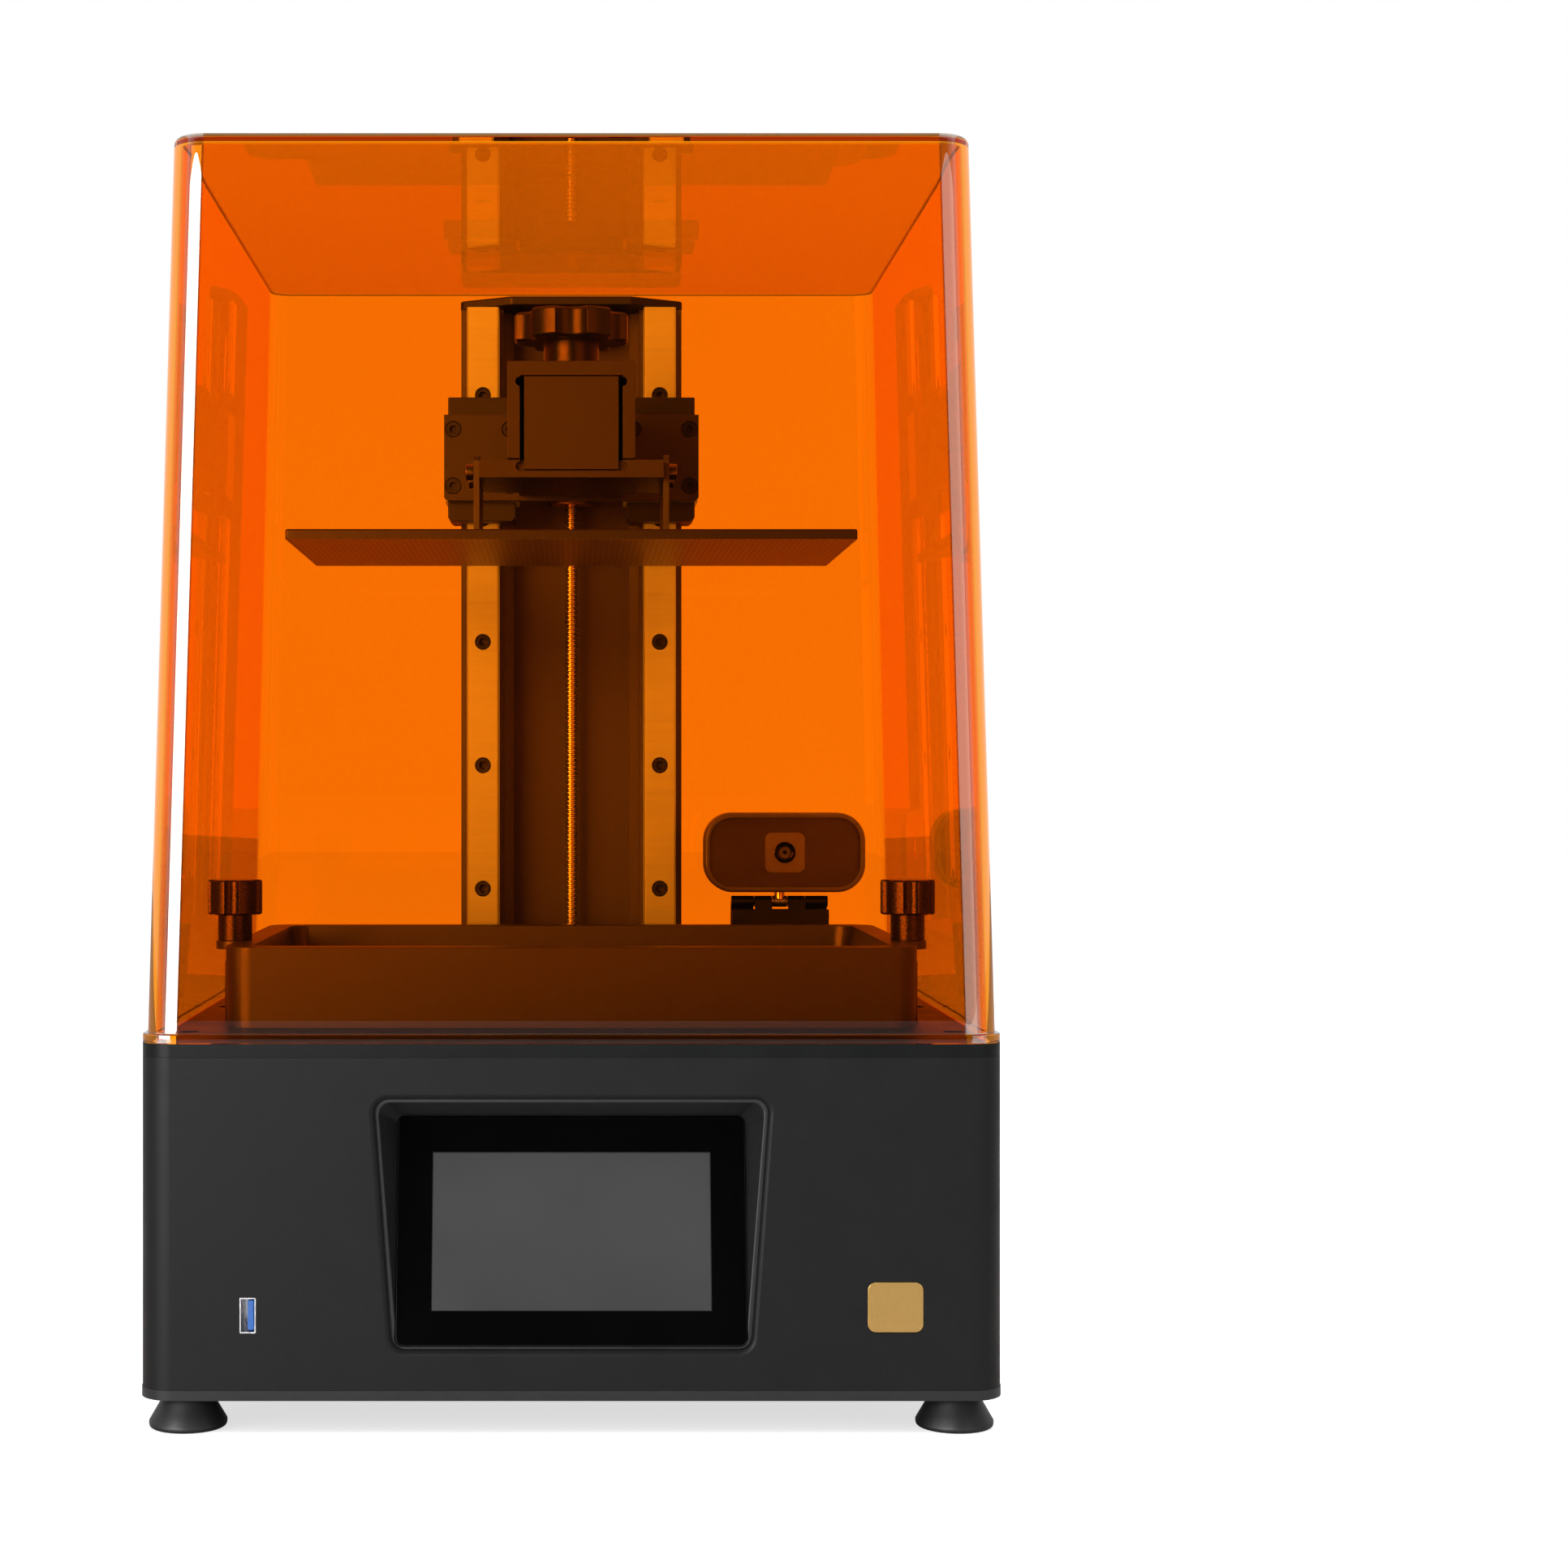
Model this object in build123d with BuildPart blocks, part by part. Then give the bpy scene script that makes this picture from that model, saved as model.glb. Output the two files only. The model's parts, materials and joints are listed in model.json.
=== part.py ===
"""Resin 3D printer: a base with a touch screen, a linear-rail Z tower that lifts the build plate, a resin vat
on an LCD light source, and a tapered amber cover that lifts off. Millimetres, +Z up, front towards -Y,
origin on the floor under the middle of the base."""

from build123d import *
from math import atan2, cos, degrees, hypot, radians, sin, tan
import os

os.makedirs("parts", exist_ok=True)

# ---------------------------------------------------------------- driving dimensions
WIDTH, DEPTH = 316.6, 332.0
FRONT, REAR = -DEPTH / 2, DEPTH / 2
CORNER = 12.0  # plan radius of the base and of the cover

FOOT_HEIGHT = 12.4
BOTTOM_THICK = 3.7
SHELL_HEIGHT = 121.7
TOP_THICK = 4.9
SHELL_BOTTOM = FOOT_HEIGHT + BOTTOM_THICK
SHELL_TOP = SHELL_BOTTOM + SHELL_HEIGHT
DECK = SHELL_TOP + TOP_THICK  # upper face of the top plate
WALL = 3.0
INSIDE_W, INSIDE_D = WIDTH - 2 * WALL, DEPTH - 2 * WALL

COVER_TOP = 478.5
FLANGE_THICK = 3.4
COVER_WALL = 3.0
COVER_INSET = 1.5  # how far the cover's walls stand in from the flange's edge
COVER_TAPER = 1.46  # degrees

# plate, screen and vat share one centre line across the base
PLATE_Y = -21.0
PLATE_W, PLATE_D, PLATE_THICK = 226.6, 128.0, 4.0
PLATE_BOTTOM = 334.6  # underside of the build plate in the stored pose
PLATE_TOP = PLATE_BOTTOM + PLATE_THICK
LCD_W, LCD_D = 225.6, 129.6

VAT_W, VAT_D, VAT_HEIGHT = 270.8, 167.4, 31.6
VAT_Y = -21.7
VAT_TOP = DECK + VAT_HEIGHT
VAT_RIM = 10.0
VAT_CORNER = 11.0
THUMB_X, THUMB_Y = 136.5, -58.0

# tower, rails and screw
TOWER_HALF = 52.0
TOWER_FRONT, TOWER_BACK = 116.0, 148.0
TOWER_TOP = 461.7
CHANNEL_HALF, CHANNEL_DEPTH = 32.0, 22.0
RAIL_X = 41.3
RAIL_SIZE = 15.0
RAIL_TOP = 460.3
RAIL_PITCH = 57.6
RAIL_FIRST_HOLE = 188.8
SCREW_Y = 124.0
SCREW_RADIUS = 3.0

# carriage
BLOCK_W, BLOCK_LENGTH, BLOCK_CAP = 34.0, 39.4, 9.0
CAP_BEVEL = 4.3  # slanted inner corner of each upper cap
BLOCK_FRONT, BLOCK_BACK = 88.0, 111.7
BLOCK_BOTTOM = 368.0
BLOCK_TOP = BLOCK_BOTTOM + BLOCK_LENGTH
CARRIAGE_HALF, CARRIAGE_THICK = 58.5, 6.0
CARRIAGE_FRONT = BLOCK_FRONT - CARRIAGE_THICK
BOLT_SPACING = 26.0
BLOCK_MIDDLE = (BLOCK_BOTTOM + BLOCK_TOP) / 2

# arm head and the mount that slides into it
HEAD_HALF, HEAD_FRONT, HEAD_BACK = 26.2, -51.0, 6.0
HEAD_BOTTOM, HEAD_TOP = 370.7, 410.7
HEAD_ROOF = 6.0
MOUNT_HALF, POCKET_HALF = 19.3, 21.0
SLAB_HALF, SLAB_BOTTOM, SLAB_TOP = 37.8, 363.0, 370.2
KNOB_Y = (HEAD_FRONT + HEAD_BACK) / 2
LEG_THICK, LEG_TOP = 2.4, 373.1

# touch screen recess in the front wall
PANEL_HALF, PANEL_LOW, PANEL_HIGH = 64.6, 31.9, 114.4
PANEL_LOW_DEPTH, PANEL_HIGH_DEPTH = 1.5, 18.0
RECESS_LOW, RECESS_HIGH = 30.8, 122.3
RECESS_LOW_HALF, RECESS_HIGH_HALF = 65.6, 72.3


def save(shape, name):
    """Labels a finished piece and writes it as its own STEP file."""
    shape.label = name
    export_step(shape, f"parts/{name}.step")


def rounded_box(centre_x, centre_y, width, depth, low, high, radius):
    """A vertical block with rounded corners, used where a piece only needs its outline and its height."""
    with BuildPart() as block:
        with BuildSketch(Plane.XY.offset(low)):
            with Locations((centre_x, centre_y)):
                RectangleRounded(width, depth, radius)
        extrude(amount=high - low)
    return block.part


def front_plane(y):
    """A sketch plane that faces the front: its x is the model's X and its y is the model's Z."""
    return Plane(origin=(0, y, 0), x_dir=(1, 0, 0), z_dir=(0, -1, 0))


def cap_screw(radius, head_radius, head, length):
    """A socket cap screw along +Z: its head sits above the origin and its shank below."""
    with BuildPart() as screw:
        Cylinder(head_radius, head, align=(Align.CENTER, Align.CENTER, Align.MIN))
        Cylinder(radius, length, align=(Align.CENTER, Align.CENTER, Align.MAX))
        with BuildSketch(Plane.XY.offset(head)):
            RegularPolygon(head_radius * 0.52, 6)
        extrude(amount=-head * 0.6, mode=Mode.SUBTRACT)
    return screw.part


def screw_group(screw, places):
    """One node that holds the same screw at several places."""
    return Compound(children=[place * screw for place in places])


def lobed_knob(radius, lobes, low, high, notch, edge):
    """A grip with hollows cut round its edge, standing on the XY plane from low to high."""
    with BuildPart() as grip:
        with BuildSketch(Plane.XY.offset(low)):
            Circle(radius)
            with PolarLocations(radius + notch * 0.45, lobes, start_angle=180 / lobes):
                Circle(notch, mode=Mode.SUBTRACT)
        extrude(amount=high - low)
        rims = grip.faces().sort_by(Axis.Z)
        chamfer(rims[-1].outer_wire().edges() + rims[0].outer_wire().edges(), edge)
    return grip.part


def fan_frame(size, thick, hub):
    """A square axial fan's frame on the XY plane, with its motor stator held on four spokes at the back."""
    with BuildPart() as frame:
        with BuildSketch():
            RectangleRounded(size, size, 3)
        extrude(amount=thick)
        with BuildSketch(Plane.XY.offset(1.5)):
            Circle(size / 2 - 2)
        extrude(amount=thick, mode=Mode.SUBTRACT)
        with BuildSketch():
            Circle(size / 2 - 2)
            Circle(hub, mode=Mode.SUBTRACT)
            Rectangle(3, size, mode=Mode.SUBTRACT)
            Rectangle(size, 3, mode=Mode.SUBTRACT)
        extrude(amount=1.5, mode=Mode.SUBTRACT)
        with GridLocations(size - 8, size - 8, 2, 2):
            Hole(1.8)
        Cylinder(2.0, thick * 0.6, align=(Align.CENTER, Align.CENTER, Align.MIN))
    return frame.part


def fan_rotor(size, thick, hub):
    """The hub and seven blades that turn on the frame's central post."""
    tip = size / 2 - 3
    with BuildPart() as rotor:
        with BuildSketch(Plane.XY.offset(2.2)):
            Circle(hub)
        extrude(amount=thick - 3.2)
        with BuildSketch(Plane.XY.offset(2.6)):
            with PolarLocations(0, 7):
                with Locations(((hub + tip) / 2 - 0.5, 0, 0)):
                    Rectangle(tip - hub + 1, 2.2, rotation=0)
        extrude(amount=thick - 4.4)
        with BuildSketch(Plane.XY.offset(2.2)):
            Circle(2.2)
        extrude(amount=thick * 0.6 - 1.6, mode=Mode.SUBTRACT)
    return rotor.part


# ---------------------------------------------------------------- base housing
def recess_outline(y, low, high, low_half, high_half, radius):
    """A rounded trapezium that faces the front, wider at the top."""
    with BuildSketch(front_plane(y)) as outline:
        with BuildLine():
            Polyline((-low_half, low), (low_half, low), (high_half, high), (-high_half, high), close=True)
        make_face()
        fillet(outline.vertices(), radius)
    return outline.sketch


panel_rise = PANEL_HIGH - PANEL_LOW
panel_run = PANEL_HIGH_DEPTH - PANEL_LOW_DEPTH
panel_length = hypot(panel_rise, panel_run)
panel_tilt = degrees(atan2(panel_run, panel_rise))
# the panel's plane: x along the model's X, y up its slope, z out of it, forward and up
panel_plane = Plane(
    origin=(0, FRONT + (PANEL_LOW_DEPTH + PANEL_HIGH_DEPTH) / 2, (PANEL_LOW + PANEL_HIGH) / 2),
    x_dir=(1, 0, 0),
    z_dir=(0, -cos(radians(panel_tilt)), sin(radians(panel_tilt))),
)

USB_X, USB_Z, USB_W, USB_H = -118.2, 43.6, 5.9, 13.0
BADGE_X, BADGE_Z, BADGE_W, BADGE_H, BADGE_DEEP = 118.4, 46.6, 20.4, 18.4, 0.8
REAR_PANEL_W, REAR_PANEL_H, REAR_PANEL_Z = 250.0, 92.0, 78.0
FOOT_X, FOOT_Y, FOOT_RADIUS = 142.0, 151.0, 14.4

DECK_SCREW_ROWS = (-117, -4, 117)
DECK_SCREWS = [(x, y) for x in (-146.5, 146.5) for y in DECK_SCREW_ROWS]
recess_mouth = recess_outline(FRONT - 1, RECESS_LOW, RECESS_HIGH, RECESS_LOW_HALF, RECESS_HIGH_HALF, 5)
with BuildPart() as base_shell:
    with BuildSketch(Plane.XY.offset(SHELL_BOTTOM)):
        RectangleRounded(WIDTH, DEPTH, CORNER)
        RectangleRounded(INSIDE_W, INSIDE_D, CORNER - WALL, mode=Mode.SUBTRACT)
    extrude(amount=SHELL_HEIGHT)
    extrude(recess_mouth.face(), amount=-WALL - 2, mode=Mode.SUBTRACT)
    rim = base_shell.faces().filter_by(Plane.XZ).sort_by(Axis.Y)[0].inner_wires()[0].edges()
    fillet(rim, 2.2)
    with BuildSketch(front_plane(FRONT - 1)):
        with Locations((USB_X, USB_Z)):
            RectangleRounded(USB_W + 0.2, USB_H + 0.2, 0.6)
    extrude(amount=-WALL - 2, mode=Mode.SUBTRACT)
    with BuildSketch(front_plane(FRONT)):
        with Locations((BADGE_X, BADGE_Z)):
            RectangleRounded(BADGE_W + 0.2, BADGE_H + 0.2, 3.1)
    extrude(amount=-BADGE_DEEP, mode=Mode.SUBTRACT)
    with BuildSketch(Plane.XZ.offset(-REAR - 1)):
        with Locations((0, REAR_PANEL_Z)):
            RectangleRounded(REAR_PANEL_W, REAR_PANEL_H, 4)
    extrude(amount=WALL + 2, mode=Mode.SUBTRACT)
    boss_x, boss_z = INSIDE_W / 2 - 6.5, SHELL_TOP - 7
    boss_places = [(sign * boss_x, y, boss_z) for sign in (-1, 1) for y in DECK_SCREW_ROWS]
    with Locations(*boss_places):
        Box(13.4, 10, 14)
    with Locations(*[(x, y, SHELL_TOP) for x, y in DECK_SCREWS]):
        Hole(1.9, depth=10)
save(base_shell.part, "base_shell")

with BuildPart() as bottom_plate:
    with BuildSketch(Plane.XY.offset(FOOT_HEIGHT)):
        RectangleRounded(WIDTH + 0.6, DEPTH, CORNER + 0.3)
    extrude(amount=BOTTOM_THICK)
    with BuildSketch(Plane.XY.offset(FOOT_HEIGHT)):
        with Locations((0, PLATE_Y)):
            with GridLocations(0, 9, 1, 8):
                SlotOverall(70, 4)
        with Locations((0, 105)):
            with GridLocations(0, 9, 1, 5):
                SlotOverall(120, 4)
    extrude(amount=BOTTOM_THICK, mode=Mode.SUBTRACT)
    with Locations((0, 0, FOOT_HEIGHT)):
        with GridLocations(2 * FOOT_X, 2 * FOOT_Y, 2, 2):
            Cylinder(2.2, 20, mode=Mode.SUBTRACT)
save(bottom_plate.part, "bottom_plate")

foot_screw = Rot(180, 0, 0) * cap_screw(2.0, 3.5, 2.4, 11.5)
with BuildPart() as foot:
    with BuildSketch(Plane.XZ) as foot_profile:
        with BuildLine():
            Polyline(
                (0, 0), (FOOT_RADIUS - 0.8, 0), (FOOT_RADIUS, 0.8), (FOOT_RADIUS, 2.4), (8.6, FOOT_HEIGHT),
                (0, FOOT_HEIGHT), close=True,
            )
        make_face()
    revolve(axis=Axis.Z)
    Cylinder(2.1, FOOT_HEIGHT * 2, mode=Mode.SUBTRACT)
    Cylinder(4.6, 5.0, align=(Align.CENTER, Align.CENTER, Align.MIN), mode=Mode.SUBTRACT)
foot_places = [Pos(sx * FOOT_X, sy * FOOT_Y, 0) for sx in (-1, 1) for sy in (-1, 1)]
save(screw_group(foot.part, foot_places), "feet")

with BuildPart() as top_plate:
    with BuildSketch(Plane.XY.offset(SHELL_TOP)):
        RectangleRounded(WIDTH, DEPTH, CORNER)
        with Locations((0, PLATE_Y)):
            RectangleRounded(LCD_W + 0.4, LCD_D + 0.4, 1.5, mode=Mode.SUBTRACT)
    extrude(amount=TOP_THICK)
    with Locations(*[(x, y, DECK) for x, y in DECK_SCREWS]):
        CounterBoreHole(2.1, 4.0, 3.0)
    with Locations((0, SCREW_Y, DECK)):
        Hole(11.2)
    with Locations((-THUMB_X, THUMB_Y, DECK), (THUMB_X, THUMB_Y, DECK)):
        Hole(2.6)
save(top_plate.part, "top_plate")
deck_screw = cap_screw(1.9, 3.7, 2.2, 7.0)
housing_screws = [Pos(x, y, DECK - 3.0) * deck_screw for x, y in DECK_SCREWS]
housing_screws += [place * Pos(0, 0, 5.0) * foot_screw for place in foot_places]

# ---------------------------------------------------------------- touch screen
BEZEL_BACK = FRONT + 27.0
bezel_front = FRONT + WALL
with BuildPart() as recess_space:
    with BuildSketch(panel_plane):
        RectangleRounded(2 * PANEL_HALF, panel_length, 3)
    with BuildSketch(panel_plane.offset(20)):
        with Locations((0, 1.2)):
            RectangleRounded(2 * PANEL_HALF + 16, panel_length + 6.4, 5)
    loft(ruled=True)
with BuildPart() as screen_bezel:
    with BuildSketch(front_plane(bezel_front)):
        with Locations((0, (RECESS_LOW + RECESS_HIGH) / 2)):
            RectangleRounded(156, 102, 5)
    extrude(amount=-(BEZEL_BACK - bezel_front))
    add(recess_space.part, mode=Mode.SUBTRACT)
    with BuildSketch(panel_plane):
        RectangleRounded(2 * PANEL_HALF, panel_length, 3)
    extrude(amount=12, both=True, mode=Mode.SUBTRACT)
    with BuildSketch(panel_plane.offset(-2.2)):
        Rectangle(126, 81)
    extrude(amount=-40, mode=Mode.SUBTRACT)
save(screen_bezel.part, "screen_bezel")

SCREEN_W, SCREEN_H, SCREEN_RISE = 102.4, 57.4, -0.4
with BuildPart() as touch_glass:
    with BuildSketch(panel_plane.offset(-2.0)):
        RectangleRounded(2 * PANEL_HALF - 0.4, panel_length - 0.4, 2.8)
    extrude(amount=2.0)
    with BuildSketch(panel_plane):
        with Locations((0, SCREEN_RISE)):
            Rectangle(SCREEN_W, SCREEN_H)
    extrude(amount=-0.6, mode=Mode.SUBTRACT)
save(touch_glass.part, "touch_glass")

with BuildPart() as display_screen:
    with BuildSketch(panel_plane.offset(-0.6)):
        with Locations((0, SCREEN_RISE)):
            Rectangle(SCREEN_W, SCREEN_H)
    extrude(amount=0.55)
save(display_screen.part, "display_screen")

with BuildPart() as usb_socket:
    with BuildSketch(front_plane(FRONT)):
        with Locations((USB_X, USB_Z)):
            RectangleRounded(USB_W, USB_H, 0.5)
    extrude(amount=-14)
    with BuildSketch(front_plane(FRONT)):
        with Locations((USB_X, USB_Z)):
            Rectangle(USB_W - 0.9, USB_H - 0.9)
    extrude(amount=-13.4, mode=Mode.SUBTRACT)
save(usb_socket.part, "usb_socket")

with BuildPart() as usb_tongue:
    with BuildSketch(front_plane(FRONT + 0.9)):
        with Locations((USB_X + 0.95, USB_Z)):
            Rectangle(2.2, 10.8)
    extrude(amount=-12.5)
save(usb_tongue.part, "usb_tongue")

with BuildPart() as front_badge:
    with BuildSketch(front_plane(FRONT)):
        with Locations((BADGE_X, BADGE_Z)):
            RectangleRounded(BADGE_W, BADGE_H, 3)
    extrude(amount=-BADGE_DEEP)
save(front_badge.part, "front_badge")

# ---------------------------------------------------------------- light source under the screen
save(rounded_box(0, PLATE_Y, LCD_W, LCD_D, SHELL_TOP, DECK - 0.3, 1.2), "lcd_panel")

LIGHT_LOW, LIGHT_HIGH = 67.0, SHELL_TOP
with BuildPart() as light_funnel:
    with BuildSketch(Plane.XY.offset(SHELL_TOP - 3)):
        with Locations((0, PLATE_Y)):
            RectangleRounded(242, 146, 4)
    extrude(amount=3)
    for grow, mode in ((2.0, Mode.ADD), (0.0, Mode.SUBTRACT)):
        with BuildSketch(Plane.XY.offset(LIGHT_LOW)) as small_end:
            with Locations((0, PLATE_Y)):
                Rectangle(150 + 2 * grow, 92 + 2 * grow)
        with BuildSketch(Plane.XY.offset(LIGHT_HIGH)) as large_end:
            with Locations((0, PLATE_Y)):
                Rectangle(222 + 2 * grow, 126 + 2 * grow)
        loft(sections=[small_end.sketch.face(), large_end.sketch.face()], ruled=True, mode=mode)
save(light_funnel.part, "light_funnel")

with BuildPart() as led_array:
    with Locations((0, PLATE_Y, LIGHT_LOW - 1)):
        Box(164, 104, 2)
    with Locations((0, PLATE_Y, LIGHT_LOW)):
        with GridLocations(23, 20, 6, 4):
            Cylinder(6.5, 5, align=(Align.CENTER, Align.CENTER, Align.MIN))
save(led_array.part, "led_array")

with BuildPart() as heat_sink:
    with BuildSketch(Plane.XY.offset(LIGHT_LOW - 7)):
        with Locations((0, PLATE_Y)):
            Rectangle(130, 84)
    extrude(amount=5)
    with BuildSketch(Plane.XY.offset(LIGHT_LOW - 27)):
        with Locations((0, PLATE_Y)):
            with GridLocations(8, 0, 16, 1):
                Rectangle(2, 84)
    extrude(amount=20)
save(heat_sink.part, "heat_sink")

SINK_FAN_SIZE, SINK_FAN_THICK, SINK_FAN_HUB = 80.0, 15.0, 17.0
sink_fan_place = Pos(0, PLATE_Y, 22)
sink_fan = [shape(SINK_FAN_SIZE, SINK_FAN_THICK, SINK_FAN_HUB) for shape in (fan_frame, fan_rotor)]
save(Compound(children=[sink_fan_place * piece for piece in sink_fan]), "sink_fan")

# ---------------------------------------------------------------- electronics
with BuildPart() as mainboard:
    with BuildSketch(Plane.XY.offset(24)):
        with Locations((90, 105)):
            Rectangle(106, 92)
    extrude(amount=1.6)
    with BuildSketch(Plane.XY.offset(25.6)):
        with Locations((75, 105), (115, 120)):
            Rectangle(18, 18)
        with Locations((90, 70)):
            Rectangle(70, 10)
    extrude(amount=6)
    with Locations((90, 105, SHELL_BOTTOM)):
        with GridLocations(96, 82, 2, 2):
            Cylinder(2.5, 24 - SHELL_BOTTOM, align=(Align.CENTER, Align.CENTER, Align.MIN))
save(mainboard.part, "mainboard")

with BuildPart() as power_supply:
    with BuildSketch(Plane.XY.offset(SHELL_BOTTOM)):
        with Locations((-93, 98)):
            Rectangle(100, 96)
    extrude(amount=32)
    with BuildSketch(Plane.XY.offset(SHELL_BOTTOM + 32)):
        with Locations((-93, 98)):
            with GridLocations(10, 0, 8, 1):
                SlotOverall(60, 4, rotation=90)
    extrude(amount=-1.2, mode=Mode.SUBTRACT)
save(power_supply.part, "power_supply")

# ---------------------------------------------------------------- rear panel, fan, inlet and switch
REAR_FAN_SIZE, REAR_FAN_THICK, REAR_FAN_HUB = 60.0, 15.0, 12.0
REAR_FAN_X, REAR_FAN_Z = 76.0, 84.0
INLET_X, INLET_Z, INLET_W, INLET_H = -92.0, 62.0, 27.0, 20.0
SWITCH_X, SWITCH_Z, SWITCH_W, SWITCH_H = -92.0, 95.0, 19.0, 13.0
REAR_PANEL_BACK = REAR - 0.4
with BuildPart() as rear_panel:
    with BuildSketch(Plane.XZ.offset(-REAR_PANEL_BACK)):
        with Locations((0, REAR_PANEL_Z)):
            RectangleRounded(REAR_PANEL_W - 0.6, REAR_PANEL_H - 0.6, 3.7)
        with Locations((INLET_X, INLET_Z)):
            RectangleRounded(INLET_W + 0.4, INLET_H + 0.4, 2.2, mode=Mode.SUBTRACT)
        with Locations((SWITCH_X, SWITCH_Z)):
            Rectangle(SWITCH_W + 0.4, SWITCH_H + 0.4, mode=Mode.SUBTRACT)
        with Locations((-10, REAR_PANEL_Z)):
            with GridLocations(8, 0, 7, 1):
                SlotOverall(54, 3.6, rotation=90, mode=Mode.SUBTRACT)
    extrude(amount=2.0)
    with BuildSketch(Plane.XZ.offset(-REAR_PANEL_BACK)):
        with Locations((REAR_FAN_X, REAR_FAN_Z)):
            for ring in (23, 16, 9):
                Circle(ring + 1.8)
                Circle(ring - 1.8, mode=Mode.SUBTRACT)
            Rectangle(60, 3, rotation=45, mode=Mode.SUBTRACT)
            Rectangle(60, 3, rotation=-45, mode=Mode.SUBTRACT)
        with Locations((0, REAR_PANEL_Z)):
            with GridLocations(REAR_PANEL_W - 12, REAR_PANEL_H - 12, 2, 2):
                Circle(1.6)
    extrude(amount=2.0, mode=Mode.SUBTRACT)
save(rear_panel.part, "rear_panel")

rear_screw = Rot(-90, 0, 0) * cap_screw(1.5, 2.8, 0.4, 5.0)
rear_screw_places = [
    Pos(sx * (REAR_PANEL_W - 12) / 2, REAR_PANEL_BACK, REAR_PANEL_Z + sz * (REAR_PANEL_H - 12) / 2)
    for sx in (-1, 1) for sz in (-1, 1)
]
housing_screws += [place * rear_screw for place in rear_screw_places]
save(Compound(children=housing_screws), "housing_screws")

rear_fan_place = Pos(REAR_FAN_X, REAR_PANEL_BACK - 2.0, REAR_FAN_Z) * Rot(90, 0, 0)
save(rear_fan_place * fan_frame(REAR_FAN_SIZE, REAR_FAN_THICK, REAR_FAN_HUB), "rear_fan_frame")
save(rear_fan_place * fan_rotor(REAR_FAN_SIZE, REAR_FAN_THICK, REAR_FAN_HUB), "rear_fan_rotor")

INLET_DEEP = 24.0
with BuildPart() as power_inlet:
    with BuildSketch(Plane.XZ.offset(-REAR_PANEL_BACK)):
        with Locations((INLET_X, INLET_Z)):
            RectangleRounded(INLET_W, INLET_H, 2)
    extrude(amount=INLET_DEEP)
    with BuildSketch(Plane.XZ.offset(-REAR_PANEL_BACK)):
        with Locations((INLET_X, INLET_Z)):
            RectangleRounded(INLET_W - 3, INLET_H - 3.4, 2.5)
    extrude(amount=17, mode=Mode.SUBTRACT)
    for pin_x, pin_z in ((-7, -1.6), (0, 2.4), (7, -1.6)):
        with BuildSketch(Plane.XZ.offset(-REAR_PANEL_BACK + 17)):
            with Locations((INLET_X + pin_x, INLET_Z + pin_z)):
                Rectangle(2, 4)
        extrude(amount=-11)
save(power_inlet.part, "power_inlet")

with BuildPart() as switch_housing:
    with BuildSketch(Plane.XZ.offset(-REAR_PANEL_BACK)):
        with Locations((SWITCH_X, SWITCH_Z)):
            Rectangle(SWITCH_W, SWITCH_H)
    extrude(amount=18)
    with BuildSketch(Plane.XZ.offset(-REAR_PANEL_BACK)):
        with Locations((SWITCH_X, SWITCH_Z)):
            Rectangle(SWITCH_W - 3, SWITCH_H - 3)
    extrude(amount=9, mode=Mode.SUBTRACT)
    with Locations((SWITCH_X, REAR_PANEL_BACK - 4.8, SWITCH_Z)):
        Cylinder(1.06, SWITCH_H + 2, mode=Mode.SUBTRACT)
save(switch_housing.part, "switch_housing")

ROCKER_PIVOT_Y, ROCKER_TIP, PIVOT_RADIUS = REAR_PANEL_BACK - 3.6, 8.0, 1.0
with BuildPart() as power_rocker:
    with BuildSketch(Plane.XY.offset(SWITCH_Z - 4.6)):
        with BuildLine():
            Polyline(
                (-7.2, -1.0), (0, -3.8), (7.2, -1.0), (7.0, 2.4), (0, 1.0), (-7.0, 2.4), close=True,
            )
        make_face()
    extrude(amount=9.2)
    with Locations((0, -1.2, SWITCH_Z)):
        Cylinder(PIVOT_RADIUS, SWITCH_H - 1.2)
rocker_place = Pos(SWITCH_X, ROCKER_PIVOT_Y - 1.2, 0) * Rot(0, 0, -ROCKER_TIP) * Pos(0, 1.2, 0)
save(rocker_place * power_rocker.part, "power_rocker")

# ---------------------------------------------------------------- tower
rail_holes = [RAIL_FIRST_HOLE + RAIL_PITCH * i for i in range(5)]
with BuildPart() as tower_column:
    with BuildSketch(Plane.XY.offset(DECK)):
        with BuildLine():
            Polyline(
                (-TOWER_HALF, TOWER_FRONT), (-CHANNEL_HALF, TOWER_FRONT),
                (-CHANNEL_HALF, TOWER_FRONT + 9), (-CHANNEL_HALF + 4.5, TOWER_FRONT + 12),
                (-CHANNEL_HALF + 4.5, TOWER_FRONT + CHANNEL_DEPTH),
                (CHANNEL_HALF - 4.5, TOWER_FRONT + CHANNEL_DEPTH),
                (CHANNEL_HALF - 4.5, TOWER_FRONT + 12), (CHANNEL_HALF, TOWER_FRONT + 9),
                (CHANNEL_HALF, TOWER_FRONT), (TOWER_HALF, TOWER_FRONT),
                (TOWER_HALF, TOWER_BACK), (-TOWER_HALF, TOWER_BACK), close=True,
            )
        make_face()
        with Locations((-RAIL_X - 0.3, TOWER_FRONT + 18), (RAIL_X + 0.3, TOWER_FRONT + 18)):
            RectangleRounded(13, 20, 2, mode=Mode.SUBTRACT)
    extrude(amount=TOWER_TOP - DECK)
    fillet(tower_column.edges().filter_by(Axis.Z).group_by(Axis.Y)[-1], 2.0)
    for rail_x in (-RAIL_X, RAIL_X):
        for hole_z in rail_holes:
            with Locations(Plane(origin=(rail_x, TOWER_FRONT, hole_z), z_dir=(0, -1, 0))):
                Hole(2.04, depth=7)
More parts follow.
